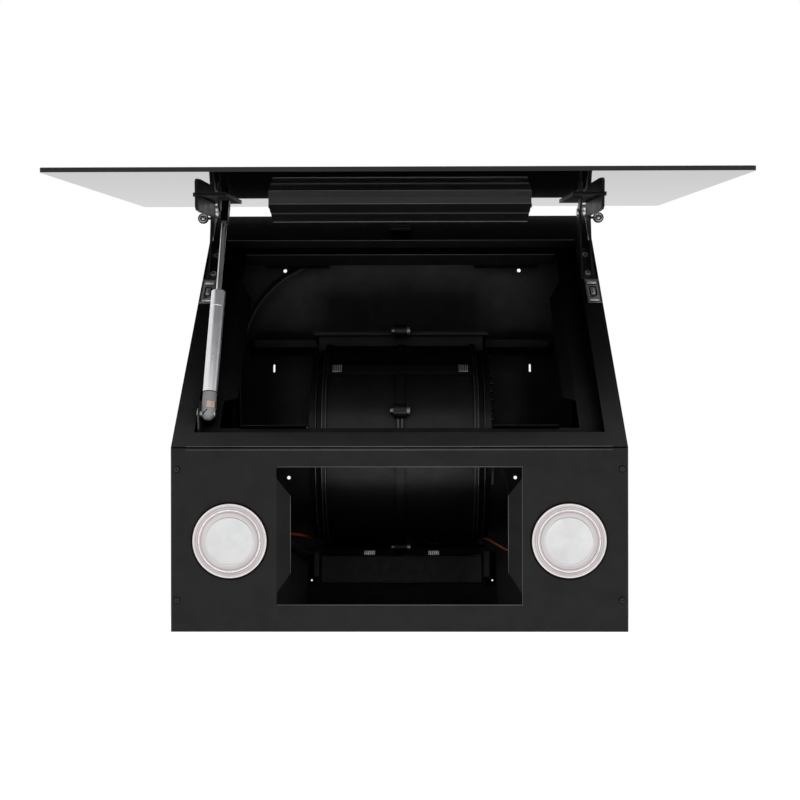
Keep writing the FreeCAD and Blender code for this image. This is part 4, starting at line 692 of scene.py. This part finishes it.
def hinge_knuckles():
    """The plated knuckles on the hinge pins, and the leaf that joins each to the glass."""
    shells = []
    for side in SIDES:
        across = sorted((side * 203.8, side * 211.2))
        ends = [GLASS.at(place, -45.1, -10.5) for place in across]
        shells.append(tube(*ends, inner=3.1, outer=5.4))
        shells.append(bar(GLASS, across, (-55.0, -49.0), (-10.0, -2.1)))
    piece("hinge_knuckles", "glass", shells, "nickel")


def arm_glints():
    """Painted highlights: nickel beads on the hinge arms where they show a bright glint, and the rims and
    plugs of the small eyes beside them.
    """
    glint_path = ((341, 21), (329, 22), (316, 20.5), (300, 18.5))
    shells = []
    for side in SIDES:
        shells.append(bead_on(UPPER, [(side * 211.8, up, off) for up, off in glint_path], 0.7))
        eye = Vector((side * 0.2236, -0.22461, 0.00085))
        rim = ring_round(eye + Vector((0, -0.001, 0)), Vector((1, 0, 0)), Vector((0, 0, 1)), 4.1, 24)
        shells.append(bead(rim, 0.7, closed=True))
        shells.append(bead([eye + Vector((0, depth, 0)) for depth in (-0.0012, 0.0012)], 2.1, sides=20))
    piece("arm_glints", "carcass", shells, "nickel")


def glass_brackets():
    """The folded brackets bonded under the glass, shorter at the rear: plate, hinge leg and strut tab."""
    flat = [(212, -73), (212, -176), (206, -182), (177, -182), (176, -73)]
    leg = [(-182, -1), (-182, -13.5), (-178, -16), (-160, -17), (-84, -17), (-68, -12), (-68, -1)]
    tab = [(-154.2, -1), (-154.2, -9), (-148.2, -15), (-142.2, -15), (-136.2, -9), (-136.2, -1)]
    for name, side in (("left", -1), ("right", 1)):
        shells = [
            plate(GLASS, [(side * across, up) for across, up in flat], -2.0, -0.05),
            fin(GLASS, leg, side * 206.0, side * 209.0),
            fin(GLASS, tab, side * 188.4, side * 190.4),
        ]
        bracket = piece("bracket_" + name, "glass", shells, "bracket_steel", smooth=False)
        rounding = bracket.modifiers.new("rounding", "BEVEL")
        rounding.width = 0.0004
        rounding.segments = 2
        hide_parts("glass_bracket_" + name)


# Strut

def cap_sleeve():
    """The grey sleeve round the strut's cap, open on one side, where the brass ring shows."""
    profile = ((7.26, 3.9), (7.34, 4.1), (7.34, 11.5), (7.26, 11.7))
    begin = 95
    sweep = 256
    steps = 30
    rings = []
    for step in range(steps + 1):
        degrees = begin + sweep * step / steps
        rings.append([on_strut(degrees, radius, along) for radius, along in profile])
    piece("cap_sleeve", "strut_barrel", [loft(rings)], "strut_grey")


def barrel_gap_shade():
    """Painted shade: black beads in the gap between the barrel and its cap, and in the slot down the cap's
    rounded end.
    """
    gap = [on_strut(360 * step / 32, 7.15, 21.7) for step in range(32)]
    slot_radius = 7.5
    slot = []
    for step in range(7):
        along = -3.3 + 5.2 * step / 6
        radius = math.sqrt(slot_radius ** 2 - min(along, 0.0) ** 2)
        slot.append(on_strut(-41 + 41 * step / 6, radius, along))
    piece("barrel_gap_shade", "strut_barrel", [bead(gap, 0.4, closed=True), bead(slot, 0.4)], "painted_gap_shade")


# Fan housing

def drum_rims():
    """The rounded rims at the drum's ends."""
    rims = ((79.2, 114.9, 0.9), (83.0, 114.6, 0.9), (90.0, 109.2, 0.8))
    shells = []
    for side in SIDES:
        for across, radius, wide in rims:
            shells.append(drum_arc(side * across, range(24, 176, 4), radius, wide))
    piece("drum_rims", "carcass", shells, "rim_gloss")


def lug_tongue():
    """The tongue below the front lug."""
    shells = [drum_arc(across, range(82, 92, 2), 115.0, 1.9) for across in around(0, 2.1)]
    piece("lug_tongue", "carcass", shells, "rim_gloss")


def cheek_knobs():
    """The knob on each cheek, with its thicker head."""
    shells = []
    for side in SIDES:
        for start, end, wide in ((96.5, 107.0, 2.6), (107.0, 109.0, 3.6)):
            shells.append(drum_peg((side * start, side * end), 87, 104, wide, sides=16))
    piece("cheek_knobs", "carcass", shells, "rim_gloss")


def cheek_ribs():
    """The short ribs on the right cheek."""
    shells = [drum_peg((94.0, 100.0 + step % 2), 52 + 6 * step, 105.0, 2.2) for step in range(6)]
    piece("cheek_ribs", "carcass", shells, "fan_plastic")


def clip_ridges():
    """The four ridges of each strip clip."""
    shells = []
    for side in SIDES:
        for step in range(4):
            shells.append(drum_arc(side * 68.0 - 3.6 + step * 2.4, (50.8, 55.2), 119.4, 0.45))
    piece("clip_ridges", "carcass", shells, "black_steel")


# Control housing and touch box

def lid_details():
    """The control lid's edge as a light bead, a painted highlight, and its thumb tab and its hinge blocks.
    """
    edge = rail(WALL, around(0, 96), 81.7, off=62.9, radius=0.5)
    piece("lid_edge", "carcass", [edge], "painted_highlight_line")
    tab = bar(WALL, (-25, 21), (48.0, 50.6), (59, 64))
    piece("lid_tab", "carcass", [tab], "lid_plastic", smooth=False)
    blocks = [bar(WALL, pair, (54, 87), (50, 59)) for pair in ((-108, -98.5), (98.5, 108))]
    piece("lid_hinges", "carcass", blocks, "lid_plastic", smooth=False)


def latch_teeth():
    """The five teeth of each latch."""
    shells = []
    for side in SIDES:
        for step in range(5):
            across = side * 39.0 - 5.0 + step * 2.5
            shells.append(bead_on(WALL, [(across, up, 60.0) for up in (82.4, 86.6)], 0.35))
    piece("latch_teeth", "carcass", shells, "black_steel")


def touch_lip():
    """Light beads as painted highlights: on the lower edge of the touch box, and a fine one near the glass.
    """
    shells = [
        rail(GLASS, around(0, 138), -102.2, off=-23.5, radius=0.7),
        rail(GLASS, around(0, 138.6), -136.8, off=-6.9, radius=0.35),
    ]
    piece("touch_lip", "glass", shells, "painted_highlight_line")


sheet_edges()
lamp_shade_rings()
lamp_ridges()
painted_screw_marks()
hinge_details()
hinge_knuckles()
arm_glints()
cap_sleeve()
barrel_gap_shade()
drum_rims()
lug_tongue()
cheek_knobs()
cheek_ribs()
clip_ridges()
hole_rims()
ledge_shadow()
ledge_rivets()
tab_edges()
glass_brackets()
lid_details()
latch_teeth()
touch_lip()


# Studio

def seen_plainly(nodes):
    """1 where the camera, a reflection or a clear piece sees the studio, 0 where it only lights."""
    path = nodes.make("LightPath")
    seen = nodes.make("Math", operation="MAXIMUM")
    clear = nodes.make("Math", operation="MAXIMUM")
    nodes.join(path.outputs["Is Camera Ray"], seen.inputs[0])
    nodes.join(path.outputs["Is Glossy Ray"], seen.inputs[1])
    nodes.join(seen.outputs[0], clear.inputs[0])
    nodes.join(path.outputs["Is Transmission Ray"], clear.inputs[1])
    return clear.outputs[0]


def make_floor():
    """A wide pale floor far below the hood."""
    mesh = bpy.data.meshes.new("floor")
    corners = []
    for x, y in ((-1, -1), (1, -1), (1, 1), (-1, 1)):
        corners.append((x * FLOOR_REACH, y * FLOOR_REACH, FLOOR_LEVEL))
    mesh.from_pydata(corners, [], [(0, 1, 2, 3)])
    floor = bpy.data.objects.new("floor", mesh)
    bpy.context.scene.collection.objects.link(floor)
    material, nodes, shader = new_material("floor_white")
    nodes.join(nodes.blend(nodes.noise(3.0), grey(0.86), grey(0.89)), shader.inputs["Base Color"])
    shader.inputs["Roughness"].default_value = 0.9
    shader.inputs["Emission Color"].default_value = (1.0, 1.0, 1.0, 1.0)
    glow = nodes.spread(seen_plainly(nodes), low=FLOOR_FILL, high=FLOOR_GLOW, start=0.0, end=1.0)
    nodes.join(glow, shader.inputs["Emission Strength"])
    mesh.materials.append(material)


def make_world():
    """A plain world: soft fill light, and white where the camera, a reflection or a clear piece sees it."""
    world = bpy.data.worlds.new("studio")
    bpy.context.scene.world = world
    world.use_nodes = True
    nodes = Nodes(world.node_tree)
    background = world.node_tree.nodes["Background"]
    background.inputs["Color"].default_value = (1.0, 1.0, 1.0, 1.0)
    light = nodes.spread(seen_plainly(nodes), low=WORLD_FILL, high=1.0, start=0.0, end=1.0)
    nodes.join(light, background.inputs["Strength"])


def add_lamp(name, place, target, size, power):
    """A square soft lamp aimed at a point, which reflections don't show."""
    data = bpy.data.lights.new(name, "AREA")
    data.shape = "SQUARE"
    data.size = size
    data.energy = power
    lamp = bpy.data.objects.new(name, data)
    lamp.location = place
    way = Vector(target) - Vector(place)
    lamp.rotation_euler = way.to_track_quat("-Z", "Y").to_euler()
    lamp.visible_glossy = False
    bpy.context.scene.collection.objects.link(lamp)


bpy.context.scene.view_settings.view_transform = "Standard"
make_floor()
make_world()
add_lamp("key", place=(0.2, -2.4, 1.3), target=(0, -0.3, -0.25), size=1.0, power=88.0)
add_lamp("low", place=(0.0, -2.1, -1.22), target=(0, -0.1, -0.1), size=0.4, power=15.0)
